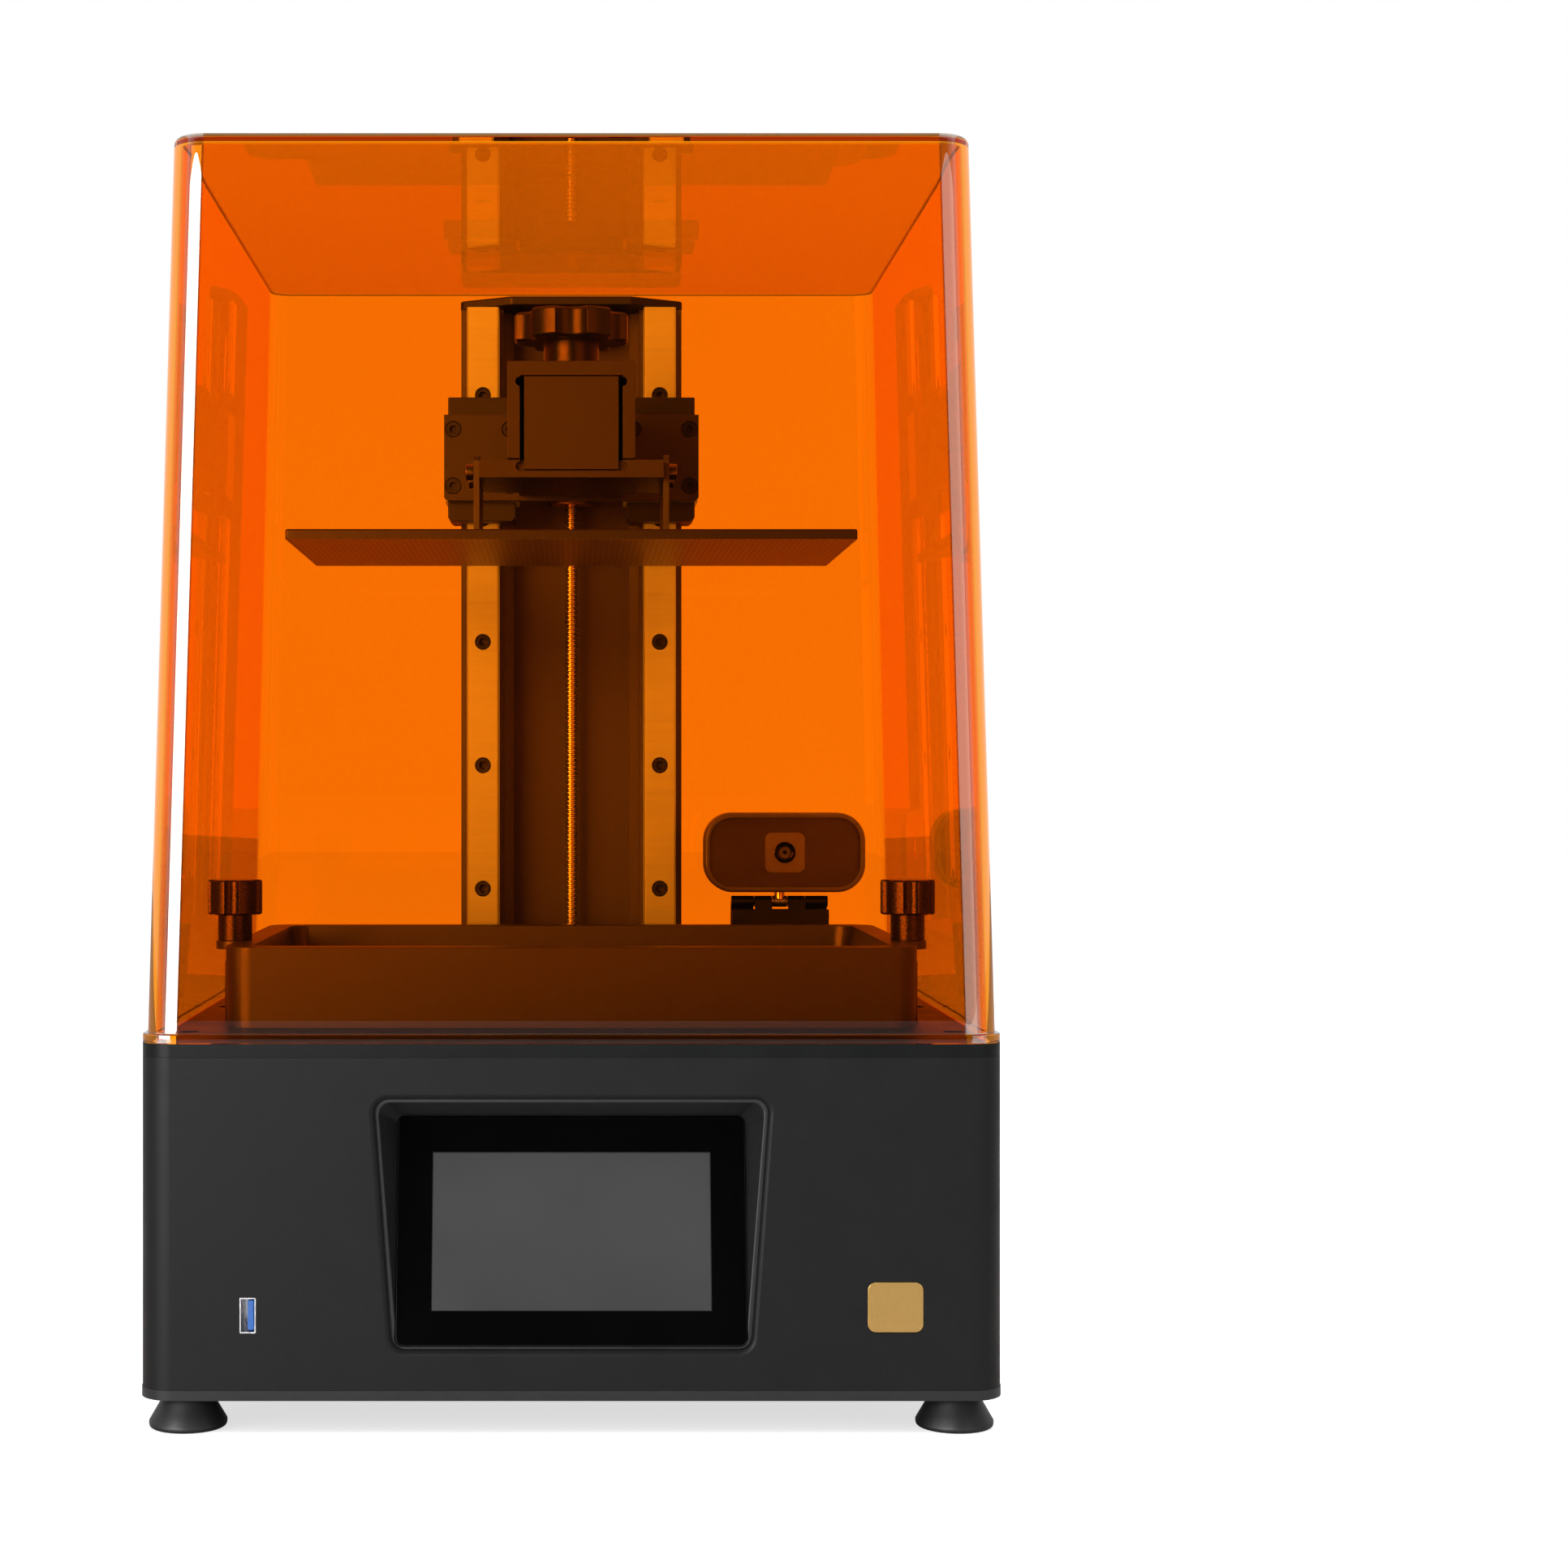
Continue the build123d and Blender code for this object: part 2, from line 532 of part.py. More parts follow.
save(tower_column.part, "tower_column")

with BuildPart() as tower_cap:
    with BuildSketch(Plane.XY.offset(TOWER_TOP)) as cap_outline:
        with BuildLine():
            Polyline(
                (-TOWER_HALF - 0.3, TOWER_BACK), (-TOWER_HALF - 0.3, TOWER_FRONT), (-28, 102.5), (28, 102.5),
                (TOWER_HALF + 0.3, TOWER_FRONT), (TOWER_HALF + 0.3, TOWER_BACK), close=True,
            )
        make_face()
        fillet(cap_outline.vertices(), 3)
    extrude(amount=4.0)
    fillet(tower_cap.faces().sort_by(Axis.Z)[-1].edges(), 0.8)
save(tower_cap.part, "tower_cap")

for side, sign in (("left", -1), ("right", 1)):
    rail_x = sign * RAIL_X
    with BuildPart() as rail:
        with BuildSketch(Plane.XY.offset(DECK)):
            with BuildLine():
                Polyline(
                    (rail_x - 7.5, TOWER_FRONT), (rail_x - 7.5, TOWER_FRONT - 6.5),
                    (rail_x - 5.6, TOWER_FRONT - 8.2), (rail_x - 5.6, TOWER_FRONT - 10.4),
                    (rail_x - 7.5, TOWER_FRONT - 12.2), (rail_x - 7.5, TOWER_FRONT - 14.2),
                    (rail_x - 6.7, TOWER_FRONT - RAIL_SIZE), (rail_x + 6.7, TOWER_FRONT - RAIL_SIZE),
                    (rail_x + 7.5, TOWER_FRONT - 14.2), (rail_x + 7.5, TOWER_FRONT - 12.2),
                    (rail_x + 5.6, TOWER_FRONT - 10.4), (rail_x + 5.6, TOWER_FRONT - 8.2),
                    (rail_x + 7.5, TOWER_FRONT - 6.5), (rail_x + 7.5, TOWER_FRONT), close=True,
                )
            make_face()
        extrude(amount=RAIL_TOP - DECK)
        for hole_z in rail_holes:
            with Locations(Plane(origin=(rail_x, TOWER_FRONT - RAIL_SIZE, hole_z), z_dir=(0, -1, 0))):
                CounterBoreHole(2.25, 3.75, 5.3)
    save(rail.part, f"rail_{side}")

rail_screw = Rot(90, 0, 0) * cap_screw(2.0, 3.5, 4.0, 16.0)
rail_screw_places = [
    Pos(x, TOWER_FRONT - RAIL_SIZE + 5.3, z) for x in (-RAIL_X, RAIL_X) for z in rail_holes
]
save(screw_group(rail_screw, rail_screw_places), "rail_screws")

TOP_BEARING_LOW = 447.0
with BuildPart() as bearing_block:
    with BuildSketch(Plane.XY.offset(TOP_BEARING_LOW)):
        with Locations((0, (TOWER_FRONT + 2 + TOWER_FRONT + CHANNEL_DEPTH) / 2)):
            Rectangle(34, CHANNEL_DEPTH - 2)
    extrude(amount=TOWER_TOP - TOP_BEARING_LOW)
    with BuildSketch(Plane.XY.offset(TOP_BEARING_LOW)):
        with Locations((0, SCREW_Y)):
            Circle(5.55)
    extrude(amount=7, mode=Mode.SUBTRACT)
    with BuildSketch(Plane.XY.offset(TOP_BEARING_LOW)):
        with Locations((0, SCREW_Y)):
            Circle(4.0)
    extrude(amount=12, mode=Mode.SUBTRACT)
with BuildPart() as top_bearing:
    with BuildSketch(Plane.XY.offset(TOP_BEARING_LOW + 1.5)):
        with Locations((0, SCREW_Y)):
            Circle(5.5)
            Circle(SCREW_RADIUS + 0.05, mode=Mode.SUBTRACT)
    extrude(amount=5)
save(Compound(children=[bearing_block.part, top_bearing.part]), "bearing_block")

MOTOR_SIZE, MOTOR_LENGTH = 42.0, 40.0
with BuildPart() as z_motor:
    with BuildSketch(Plane.XY.offset(SHELL_TOP - MOTOR_LENGTH)):
        with Locations((0, SCREW_Y)):
            RectangleRounded(MOTOR_SIZE, MOTOR_SIZE, 4)
    extrude(amount=MOTOR_LENGTH)
    with BuildSketch(Plane.XY.offset(SHELL_TOP)):
        with Locations((0, SCREW_Y)):
            Circle(11)
    extrude(amount=2)
    with Locations((0, SCREW_Y, SHELL_TOP + 2)):
        Hole(SCREW_RADIUS + 0.05, depth=36)
save(z_motor.part, "z_motor")

with BuildPart() as lead_screw:
    with Locations((0, SCREW_Y, SHELL_TOP - 30)):
        Cylinder(SCREW_RADIUS, 454 - (SHELL_TOP - 30), align=(Align.CENTER, Align.CENTER, Align.MIN))
    chamfer(lead_screw.edges().group_by(Axis.Z)[-1], 0.5)
save(lead_screw.part, "lead_screw")

# ---------------------------------------------------------------- carriage
block_caps_pair = []
for side, sign in (("left", -1), ("right", 1)):
    block_x = sign * RAIL_X
    with BuildPart() as guide_block:
        with BuildSketch(Plane.XY.offset(BLOCK_BOTTOM)):
            with Locations((block_x, (BLOCK_FRONT + BLOCK_BACK) / 2)):
                Rectangle(BLOCK_W, BLOCK_BACK - BLOCK_FRONT)
            with Locations((block_x, TOWER_FRONT)):
                Rectangle(RAIL_SIZE + 0.8, 2 * (RAIL_SIZE + 0.4), mode=Mode.SUBTRACT)
        extrude(amount=BLOCK_LENGTH)
        chamfer(guide_block.edges().filter_by(Axis.Z).group_by(Axis.Y)[-1], 1.5)
        bolt_plane = Plane(origin=(block_x, BLOCK_FRONT, BLOCK_MIDDLE), z_dir=(0, -1, 0))
        with Locations(bolt_plane):
            with GridLocations(BOLT_SPACING, BOLT_SPACING, 2, 2):
                Hole(2.05, depth=8)
    save(guide_block.part, f"guide_block_{side}")
    with BuildPart() as block_caps:
        for low in (BLOCK_BOTTOM - BLOCK_CAP, BLOCK_TOP):
            with BuildSketch(Plane.XY.offset(low)):
                with Locations((block_x, (BLOCK_FRONT + 0.8 + BLOCK_BACK) / 2)):
                    Rectangle(BLOCK_W - 2.6, BLOCK_BACK - BLOCK_FRONT - 0.8)
                with Locations((block_x, TOWER_FRONT)):
                    Rectangle(RAIL_SIZE + 0.6, 2 * (RAIL_SIZE + 0.3), mode=Mode.SUBTRACT)
            extrude(amount=BLOCK_CAP)
        outer_edges = block_caps.edges().filter_by(Axis.Y)
        chamfer(outer_edges.group_by(Axis.Z)[0].sort_by(Axis.X)[0:1], 1.8)
        chamfer(block_caps.edges().filter_by(Axis.Y).group_by(Axis.Z)[0].sort_by(Axis.X)[-1:], 1.8)
        inner_end = -1 if sign < 0 else 0
        top_edges = block_caps.edges().filter_by(Axis.Y).group_by(Axis.Z)[-1].sort_by(Axis.X)
        chamfer(top_edges[inner_end], CAP_BEVEL)
    block_caps_pair += block_caps.solids()
save(Compound(children=block_caps_pair), "block_caps")

with BuildPart() as carriage_plate:
    with BuildSketch(front_plane(CARRIAGE_FRONT)) as carriage_outline:
        with Locations((0, BLOCK_MIDDLE)):
            Rectangle(2 * CARRIAGE_HALF, BLOCK_LENGTH)
        chamfer(carriage_outline.vertices().group_by(Axis.Y)[0], 1.5)
    extrude(amount=-CARRIAGE_THICK)
    for block_x in (-RAIL_X, RAIL_X):
        with Locations(Plane(origin=(block_x, CARRIAGE_FRONT, BLOCK_MIDDLE), z_dir=(0, -1, 0))):
            with GridLocations(BOLT_SPACING, BOLT_SPACING, 2, 2):
                CounterBoreHole(2.2, 3.8, 3.0)
save(carriage_plate.part, "carriage_plate")

block_bolt = Rot(90, 0, 0) * cap_screw(2.0, 3.5, 2.8, 9.0)
block_bolt_places = [
    Pos(rail_x + dx, CARRIAGE_FRONT + 3.0, BLOCK_MIDDLE + dz)
    for rail_x in (-RAIL_X, RAIL_X) for dx in (-13, 13) for dz in (-13, 13)
]
save(screw_group(block_bolt, block_bolt_places), "carriage_bolts")

NUT_LOW, NUT_HIGH, NUT_RADIUS = 373.0, 403.0, 8.0
with BuildPart() as nut_block:
    with BuildSketch(Plane.XY.offset(NUT_LOW)):
        with Locations((0, (BLOCK_FRONT + SCREW_Y + 10) / 2)):
            RectangleRounded(28, SCREW_Y + 10 - BLOCK_FRONT, 2)
        with Locations((0, SCREW_Y)):
            Circle(NUT_RADIUS, mode=Mode.SUBTRACT)
    extrude(amount=NUT_HIGH - NUT_LOW)
save(nut_block.part, "nut_block")

with BuildPart() as lead_nut:
    with BuildSketch(Plane.XY.offset(NUT_LOW - 3)):
        with Locations((0, SCREW_Y)):
            Circle(NUT_RADIUS - 0.05)
            Circle(SCREW_RADIUS + 0.06, mode=Mode.SUBTRACT)
    extrude(amount=NUT_HIGH - NUT_LOW + 3)
    with BuildSketch(Plane.XY.offset(NUT_LOW - 3)):
        with Locations((0, SCREW_Y)):
            Circle(9.6)
            Circle(SCREW_RADIUS + 0.06, mode=Mode.SUBTRACT)
    extrude(amount=3)
save(lead_nut.part, "lead_nut")

ARM_HALF, ARM_LOW, ARM_HIGH = 24.0, 374.0, 405.0
with BuildPart() as arm_beam:
    with BuildSketch(Plane.YZ.offset(-ARM_HALF)):
        with BuildLine():
            Polyline(
                (HEAD_BACK, ARM_LOW + 2), (HEAD_BACK, ARM_HIGH),
                (CARRIAGE_FRONT, ARM_HIGH + 1), (CARRIAGE_FRONT, ARM_LOW - 4),
                (CARRIAGE_FRONT - 14, ARM_LOW - 4), (HEAD_BACK + 12, ARM_LOW + 2),
                close=True,
            )
        make_face()
    extrude(amount=2 * ARM_HALF)
    pocket_middle = (HEAD_BACK + CARRIAGE_FRONT) / 2
    for sign in (-1, 1):
        with BuildSketch(Plane.YZ.offset(sign * ARM_HALF)):
            with Locations((pocket_middle, (ARM_LOW + ARM_HIGH) / 2 + 1)):
                RectangleRounded(54, 18, 4)
        extrude(amount=-sign * 16, mode=Mode.SUBTRACT)

with BuildPart() as arm_head:
    with BuildSketch(front_plane(HEAD_FRONT)):
        with Locations((0, (HEAD_BOTTOM + HEAD_TOP) / 2)):
            RectangleRounded(2 * HEAD_HALF, HEAD_TOP - HEAD_BOTTOM, 1.0)
    extrude(amount=-(HEAD_BACK - HEAD_FRONT))
    cavity_low, cavity_high = HEAD_BOTTOM + 4, HEAD_TOP - HEAD_ROOF
    relief_drop = 2.4
    with BuildSketch(front_plane(HEAD_FRONT)):
        with Locations((0, (HEAD_BOTTOM - 1 + cavity_high) / 2)):
            Rectangle(2 * POCKET_HALF, cavity_high - HEAD_BOTTOM + 1)
        # round reliefs that let a square block seat in a milled pocket
        with Locations(*[(sign * POCKET_HALF, cavity_high - relief_drop) for sign in (-1, 1)]):
            Circle(1.8)
    extrude(amount=-(HEAD_BACK - 6 - HEAD_FRONT), mode=Mode.SUBTRACT)
    with Locations((0, KNOB_Y, HEAD_TOP)):
        Hole(3.98, depth=HEAD_ROOF + 1)
    add(arm_beam.part)
save(arm_head.part, "lift_arm")

# ---------------------------------------------------------------- build plate and its mount
MOUNT_BACK = HEAD_BACK - 6.6
CHANNEL_END, CHANNEL_DEEP = 366.0, 3.0
with BuildPart() as plate_mount:
    with BuildSketch(front_plane(HEAD_FRONT)):
        with Locations((0, (SLAB_TOP - 1 + cavity_high - 0.4) / 2)):
            Rectangle(2 * MOUNT_HALF, cavity_high - 0.4 - SLAB_TOP + 1)
    extrude(amount=-(MOUNT_BACK - HEAD_FRONT))
    with BuildSketch(front_plane(HEAD_FRONT)):
        with Locations((0, (SLAB_BOTTOM + SLAB_TOP) / 2)):
            Rectangle(2 * SLAB_HALF, SLAB_TOP - SLAB_BOTTOM)
    extrude(amount=-(HEAD_BACK - HEAD_FRONT))
    # the pocket's outline runs on across the slab's face as a shallow milled channel
    with BuildSketch(front_plane(HEAD_FRONT)):
        with Locations((0, (CHANNEL_END + SLAB_TOP + 1) / 2)):
            Rectangle(2 * POCKET_HALF, SLAB_TOP + 1 - CHANNEL_END)
            Rectangle(2 * MOUNT_HALF, SLAB_TOP + 3 - CHANNEL_END, mode=Mode.SUBTRACT)
        with Locations((0, CHANNEL_END)):
            Rectangle(2 * POCKET_HALF, 0.7)
        with Locations(*[(sign * POCKET_HALF, CHANNEL_END + 1.6) for sign in (-1, 1)]):
            Circle(1.8)
    extrude(amount=-CHANNEL_DEEP, mode=Mode.SUBTRACT)
    for sign in (-1, 1):
        for hole_y in (-38, -7):
            with Locations(Plane(origin=(sign * SLAB_HALF, hole_y, 366.6), z_dir=(sign, 0, 0))):
                Hole(1.7, depth=9)
save(plate_mount.part, "plate_mount")

LEG_FRONT, LEG_BACK, LEG_FOOT = -45.0, 0.0, 11.0
for side, sign in (("left", -1), ("right", 1)):
    with BuildPart() as plate_leg:
        with BuildSketch(Plane.YZ.offset(sign * SLAB_HALF)):
            with Locations(((LEG_FRONT + LEG_BACK) / 2, (PLATE_TOP + LEG_TOP) / 2)):
                RectangleRounded(LEG_BACK - LEG_FRONT, LEG_TOP - PLATE_TOP, 3)
            with Locations(((LEG_FRONT + LEG_BACK) / 2, PLATE_TOP + 4)):
                Rectangle(LEG_BACK - LEG_FRONT, 8)
        extrude(amount=sign * LEG_THICK)
        with BuildSketch(Plane.XY.offset(PLATE_TOP)):
            with Locations((sign * (SLAB_HALF - LEG_FOOT / 2), (LEG_FRONT + LEG_BACK) / 2)):
                Rectangle(LEG_FOOT, LEG_BACK - LEG_FRONT)
        extrude(amount=LEG_THICK)
        for hole_y in (-38, -7):
            with Locations(Plane(origin=(sign * (SLAB_HALF + LEG_THICK), hole_y, 366.6), z_dir=(sign, 0, 0))):
                Hole(1.7, depth=LEG_THICK + 0.5)
            with Locations((sign * (SLAB_HALF - 6), hole_y, PLATE_TOP + LEG_THICK)):
                Hole(1.7, depth=LEG_THICK)
    save(plate_leg.part, f"plate_leg_{side}")

with BuildPart() as build_plate:
    with BuildSketch(Plane.XY.offset(PLATE_BOTTOM)):
        with Locations((0, PLATE_Y)):
            RectangleRounded(PLATE_W, PLATE_D, 1.0)
    extrude(amount=PLATE_THICK)
    chamfer(build_plate.faces().sort_by(Axis.Z)[-1].edges(), 0.5)
    with Locations(*[(sx * (SLAB_HALF - 6), y, PLATE_TOP) for sx in (-1, 1) for y in (-38, -7)]):
        Hole(1.3, depth=3.0)
save(build_plate.part, "build_plate")

leg_screws = [
    Pos(sx * (SLAB_HALF + LEG_THICK), y, 366.6) * Rot(0, sx * 90, 0) * cap_screw(1.6, 3.4, 3.4, 9.0)
    for sx in (-1, 1) for y in (-38, -7)
]
plate_screw = cap_screw(1.2, 2.8, 2.0, LEG_THICK + 2.6)
plate_screw_places = [
    Pos(sx * (SLAB_HALF - 6), y, PLATE_TOP + LEG_THICK) for sx in (-1, 1) for y in (-38, -7)
]
save(Compound(children=leg_screws + [place * plate_screw for place in plate_screw_places]), "plate_screws")

# ---------------------------------------------------------------- clamp knob on the arm head
CLAMP_RADIUS, CLAMP_LOW, CLAMP_HIGH = 23.8, 422.3, 434.6
with BuildPart() as clamp_knob:
    add(Pos(0, KNOB_Y, 0) * lobed_knob(CLAMP_RADIUS, 6, CLAMP_LOW, CLAMP_HIGH, 8.0, 1.0))
    with Locations((0, KNOB_Y, HEAD_TOP + 0.3)):
        Cylinder(11.6, CLAMP_LOW - HEAD_TOP - 0.3, align=(Align.CENTER, Align.CENTER, Align.MIN))
    with Locations((0, KNOB_Y, HEAD_TOP - HEAD_ROOF - 0.1)):
        Cylinder(3.92, 12, align=(Align.CENTER, Align.CENTER, Align.MIN))
save(clamp_knob.part, "clamp_knob")

# ---------------------------------------------------------------- vat
VAT_FLOOR_W, VAT_FLOOR_D = 240.0, 138.0
RING_W, RING_D, RING_HEIGHT, FILM_THICK = 258.0, 155.0, 2.2, 0.2
EAR_RADIUS, EAR_THICK = 7.6, 3.4
with BuildPart() as vat_frame:
    with BuildSketch(Plane.XY.offset(VAT_TOP)):
        with Locations((0, VAT_Y)):
            RectangleRounded(VAT_W, VAT_D, VAT_CORNER)
    extrude(amount=-VAT_HEIGHT, taper=1.0)
    with BuildSketch(Plane.XY.offset(VAT_TOP - EAR_THICK)):
        with Locations((-THUMB_X, THUMB_Y), (THUMB_X, THUMB_Y)):
            Circle(EAR_RADIUS)
    extrude(amount=EAR_THICK)
    with BuildSketch(Plane.XY.offset(VAT_TOP)) as rim_opening:
        with Locations((0, VAT_Y)):
            RectangleRounded(VAT_W - 2 * VAT_RIM, VAT_D - 2 * VAT_RIM, 8)
    with BuildSketch(Plane.XY.offset(DECK)) as floor_opening:
        with Locations((0, VAT_Y)):
            RectangleRounded(VAT_FLOOR_W, VAT_FLOOR_D, 5)
    loft(sections=[rim_opening.sketch.face(), floor_opening.sketch.face()], ruled=True, mode=Mode.SUBTRACT)
    with BuildSketch(Plane.XY.offset(DECK)):
        with Locations((0, VAT_Y)):
            RectangleRounded(RING_W + 0.4, RING_D + 0.4, 5)
    extrude(amount=RING_HEIGHT + FILM_THICK + 0.1, mode=Mode.SUBTRACT)
    with BuildSketch(Plane.XY.offset(DECK)):
        with Locations((-THUMB_X, THUMB_Y), (THUMB_X, THUMB_Y)):
            Circle(4.7)
    extrude(amount=VAT_HEIGHT - EAR_THICK, mode=Mode.SUBTRACT)
    with Locations((-THUMB_X, THUMB_Y, VAT_TOP), (THUMB_X, THUMB_Y, VAT_TOP)):
        Hole(2.75, depth=EAR_THICK + 1)
save(vat_frame.part, "vat_frame")

with BuildPart() as film_ring:
    with BuildSketch(Plane.XY.offset(DECK + FILM_THICK)):
        with Locations((0, VAT_Y)):
            RectangleRounded(RING_W, RING_D, 4.8)
            RectangleRounded(VAT_FLOOR_W, VAT_FLOOR_D, 5, mode=Mode.SUBTRACT)
    extrude(amount=RING_HEIGHT)
save(film_ring.part, "film_ring")
save(rounded_box(0, VAT_Y, RING_W, RING_D, DECK, DECK + FILM_THICK, 4.8), "vat_film")

POST_RADIUS, POST_TOP = 4.0, 166.0
with BuildPart() as vat_posts:
    with Locations((-THUMB_X, THUMB_Y, DECK), (THUMB_X, THUMB_Y, DECK)):
        Cylinder(POST_RADIUS, POST_TOP - DECK, align=(Align.CENTER, Align.CENTER, Align.MIN))
    with Locations((-THUMB_X, THUMB_Y, POST_TOP), (THUMB_X, THUMB_Y, POST_TOP)):
        Hole(2.5, depth=18)
    with Locations((-THUMB_X, THUMB_Y, DECK - 4), (THUMB_X, THUMB_Y, DECK - 4)):
        Cylinder(2.4, 4, align=(Align.CENTER, Align.CENTER, Align.MIN))
save(vat_posts.part, "vat_posts")

NECK_RADIUS, NECK_TOP, THUMB_TOP, THUMB_RADIUS = 6.9, 184.8, 198.9, 11.0
for side, sign in (("left", -1), ("right", 1)):
    with BuildPart() as thumb_screw:
        add(Pos(sign * THUMB_X, THUMB_Y, 0) * lobed_knob(THUMB_RADIUS, 6, NECK_TOP, THUMB_TOP, 3.6, 0.6))
        with Locations((sign * THUMB_X, THUMB_Y, VAT_TOP + 0.1)):
            Cylinder(NECK_RADIUS, NECK_TOP - VAT_TOP - 0.1, align=(Align.CENTER, Align.CENTER, Align.MIN))
        with Locations((sign * THUMB_X, THUMB_Y, 150.0)):
            Cylinder(2.42, VAT_TOP + 2 - 150.0, align=(Align.CENTER, Align.CENTER, Align.MIN))
    save(thumb_screw.part, f"thumb_screw_{side}")
# ---------------------------------------------------------------- cover
cover_w, cover_d = WIDTH - 2 * COVER_INSET, DEPTH - 2 * COVER_INSET
COVER_CORNER = 12.5


def cover_block(low, high, inset, radius):
    """The tapered block that the cover's outside or its hollow fills, drawn in from the outside by inset."""
    with BuildPart() as block:
        for height in (low, high):
            lean = (height - DECK) * tan(radians(COVER_TAPER))
            with BuildSketch(Plane.XY.offset(height)):
                RectangleRounded(cover_w - 2 * (inset + lean), cover_d - 2 * (inset + lean), radius)
        loft(ruled=True)
    return block.part


with BuildPart() as cover:
    add(cover_block(DECK, COVER_TOP, 0, COVER_CORNER))
    fillet(cover.faces().sort_by(Axis.Z)[-1].edges(), 2.8)
    with BuildSketch(Plane.XY.offset(DECK)):
        RectangleRounded(WIDTH, DEPTH, CORNER)
    extrude(amount=FLANGE_THICK)
    add(cover_block(DECK, COVER_TOP - COVER_WALL, COVER_WALL, COVER_CORNER - COVER_WALL), mode=Mode.SUBTRACT)
save(cover.part, "cover")

# ---------------------------------------------------------------- webcam on its folding stand
CAM_X, CAM_FRONT, CAM_DEEP = 98.8, 89.0, 22.0
CAM_W, CAM_H, CAM_Z = 74.3, 36.8, 206.0
CAM_CORNER = 13.0
STEM_RADIUS = 2.35
HINGE_X, HINGE_Y, HINGE_Z, HINGE_HALF, HINGE_RADIUS = 97.0, 100.0, 183.0, 11.6, 2.6
LEAF_W, LEAF_THICK = 44.8, 3.0
cam_middle = CAM_FRONT + CAM_DEEP / 2

with BuildPart() as webcam_case:
    with BuildSketch(front_plane(CAM_FRONT)):
        with Locations((CAM_X, CAM_Z)):
            RectangleRounded(CAM_W, CAM_H, CAM_CORNER)
    extrude(amount=-CAM_DEEP)
    fillet(webcam_case.faces().sort_by(Axis.Y)[-1].edges(), 5)
    fillet(webcam_case.faces().sort_by(Axis.Y)[0].edges(), 1.2)
    with BuildSketch(front_plane(CAM_FRONT)):
        with Locations((CAM_X, CAM_Z)):
            RectangleRounded(CAM_W - 4.6, CAM_H - 4.6, CAM_CORNER - 2.3)
    extrude(amount=-2.4, mode=Mode.SUBTRACT)
    with Locations((HINGE_X, cam_middle, CAM_Z - CAM_H / 2)):
        Cylinder(STEM_RADIUS + 0.07, 8, mode=Mode.SUBTRACT)
save(webcam_case.part, "webcam_case")

with BuildPart() as webcam_face:
    with BuildSketch(front_plane(CAM_FRONT + 1.2)):
        with Locations((CAM_X, CAM_Z)):
            RectangleRounded(CAM_W - 4.9, CAM_H - 4.9, CAM_CORNER - 2.5)
            RectangleRounded(18.6, 18.6, 3.2, mode=Mode.SUBTRACT)
    extrude(amount=-1.2)
with BuildPart() as webcam_window:
    with BuildSketch(front_plane(CAM_FRONT + 1.0)):
        with Locations((CAM_X, CAM_Z)):
            RectangleRounded(18.4, 18.4, 3.1)
            Circle(4.9, mode=Mode.SUBTRACT)
    extrude(amount=-1.4)
save(Compound(children=[webcam_face.part, webcam_window.part]), "webcam_face")

with BuildPart() as webcam_lens:
    with BuildSketch(front_plane(CAM_FRONT + 0.6)):
        with Locations((CAM_X, CAM_Z)):
            Circle(4.85)
            Circle(3.5, mode=Mode.SUBTRACT)
    extrude(amount=-1.8)
    with BuildSketch(front_plane(CAM_FRONT + 1.4)):
        with Locations((CAM_X, CAM_Z)):
            Circle(3.5)
    extrude(amount=-1.0)
save(webcam_lens.part, "webcam_lens")

with BuildPart() as webcam_stem:
    with BuildSketch(Plane.XY.offset(HINGE_Z)):
        with Locations((HINGE_X, cam_middle)):
            Circle(STEM_RADIUS)
    extrude(amount=CAM_Z - CAM_H / 2 + 3.8 - HINGE_Z)
    with BuildSketch(Plane.YZ.offset(HINGE_X - 3.5)):
        with Locations((cam_middle, HINGE_Z)):
            Circle(HINGE_RADIUS)
    extrude(amount=7)
    with BuildSketch(Plane.YZ.offset(HINGE_X - 3.5)):
        with Locations((cam_middle, HINGE_Z)):
            Circle(1.08)
    extrude(amount=7, mode=Mode.SUBTRACT)
save(webcam_stem.part, "webcam_stem")

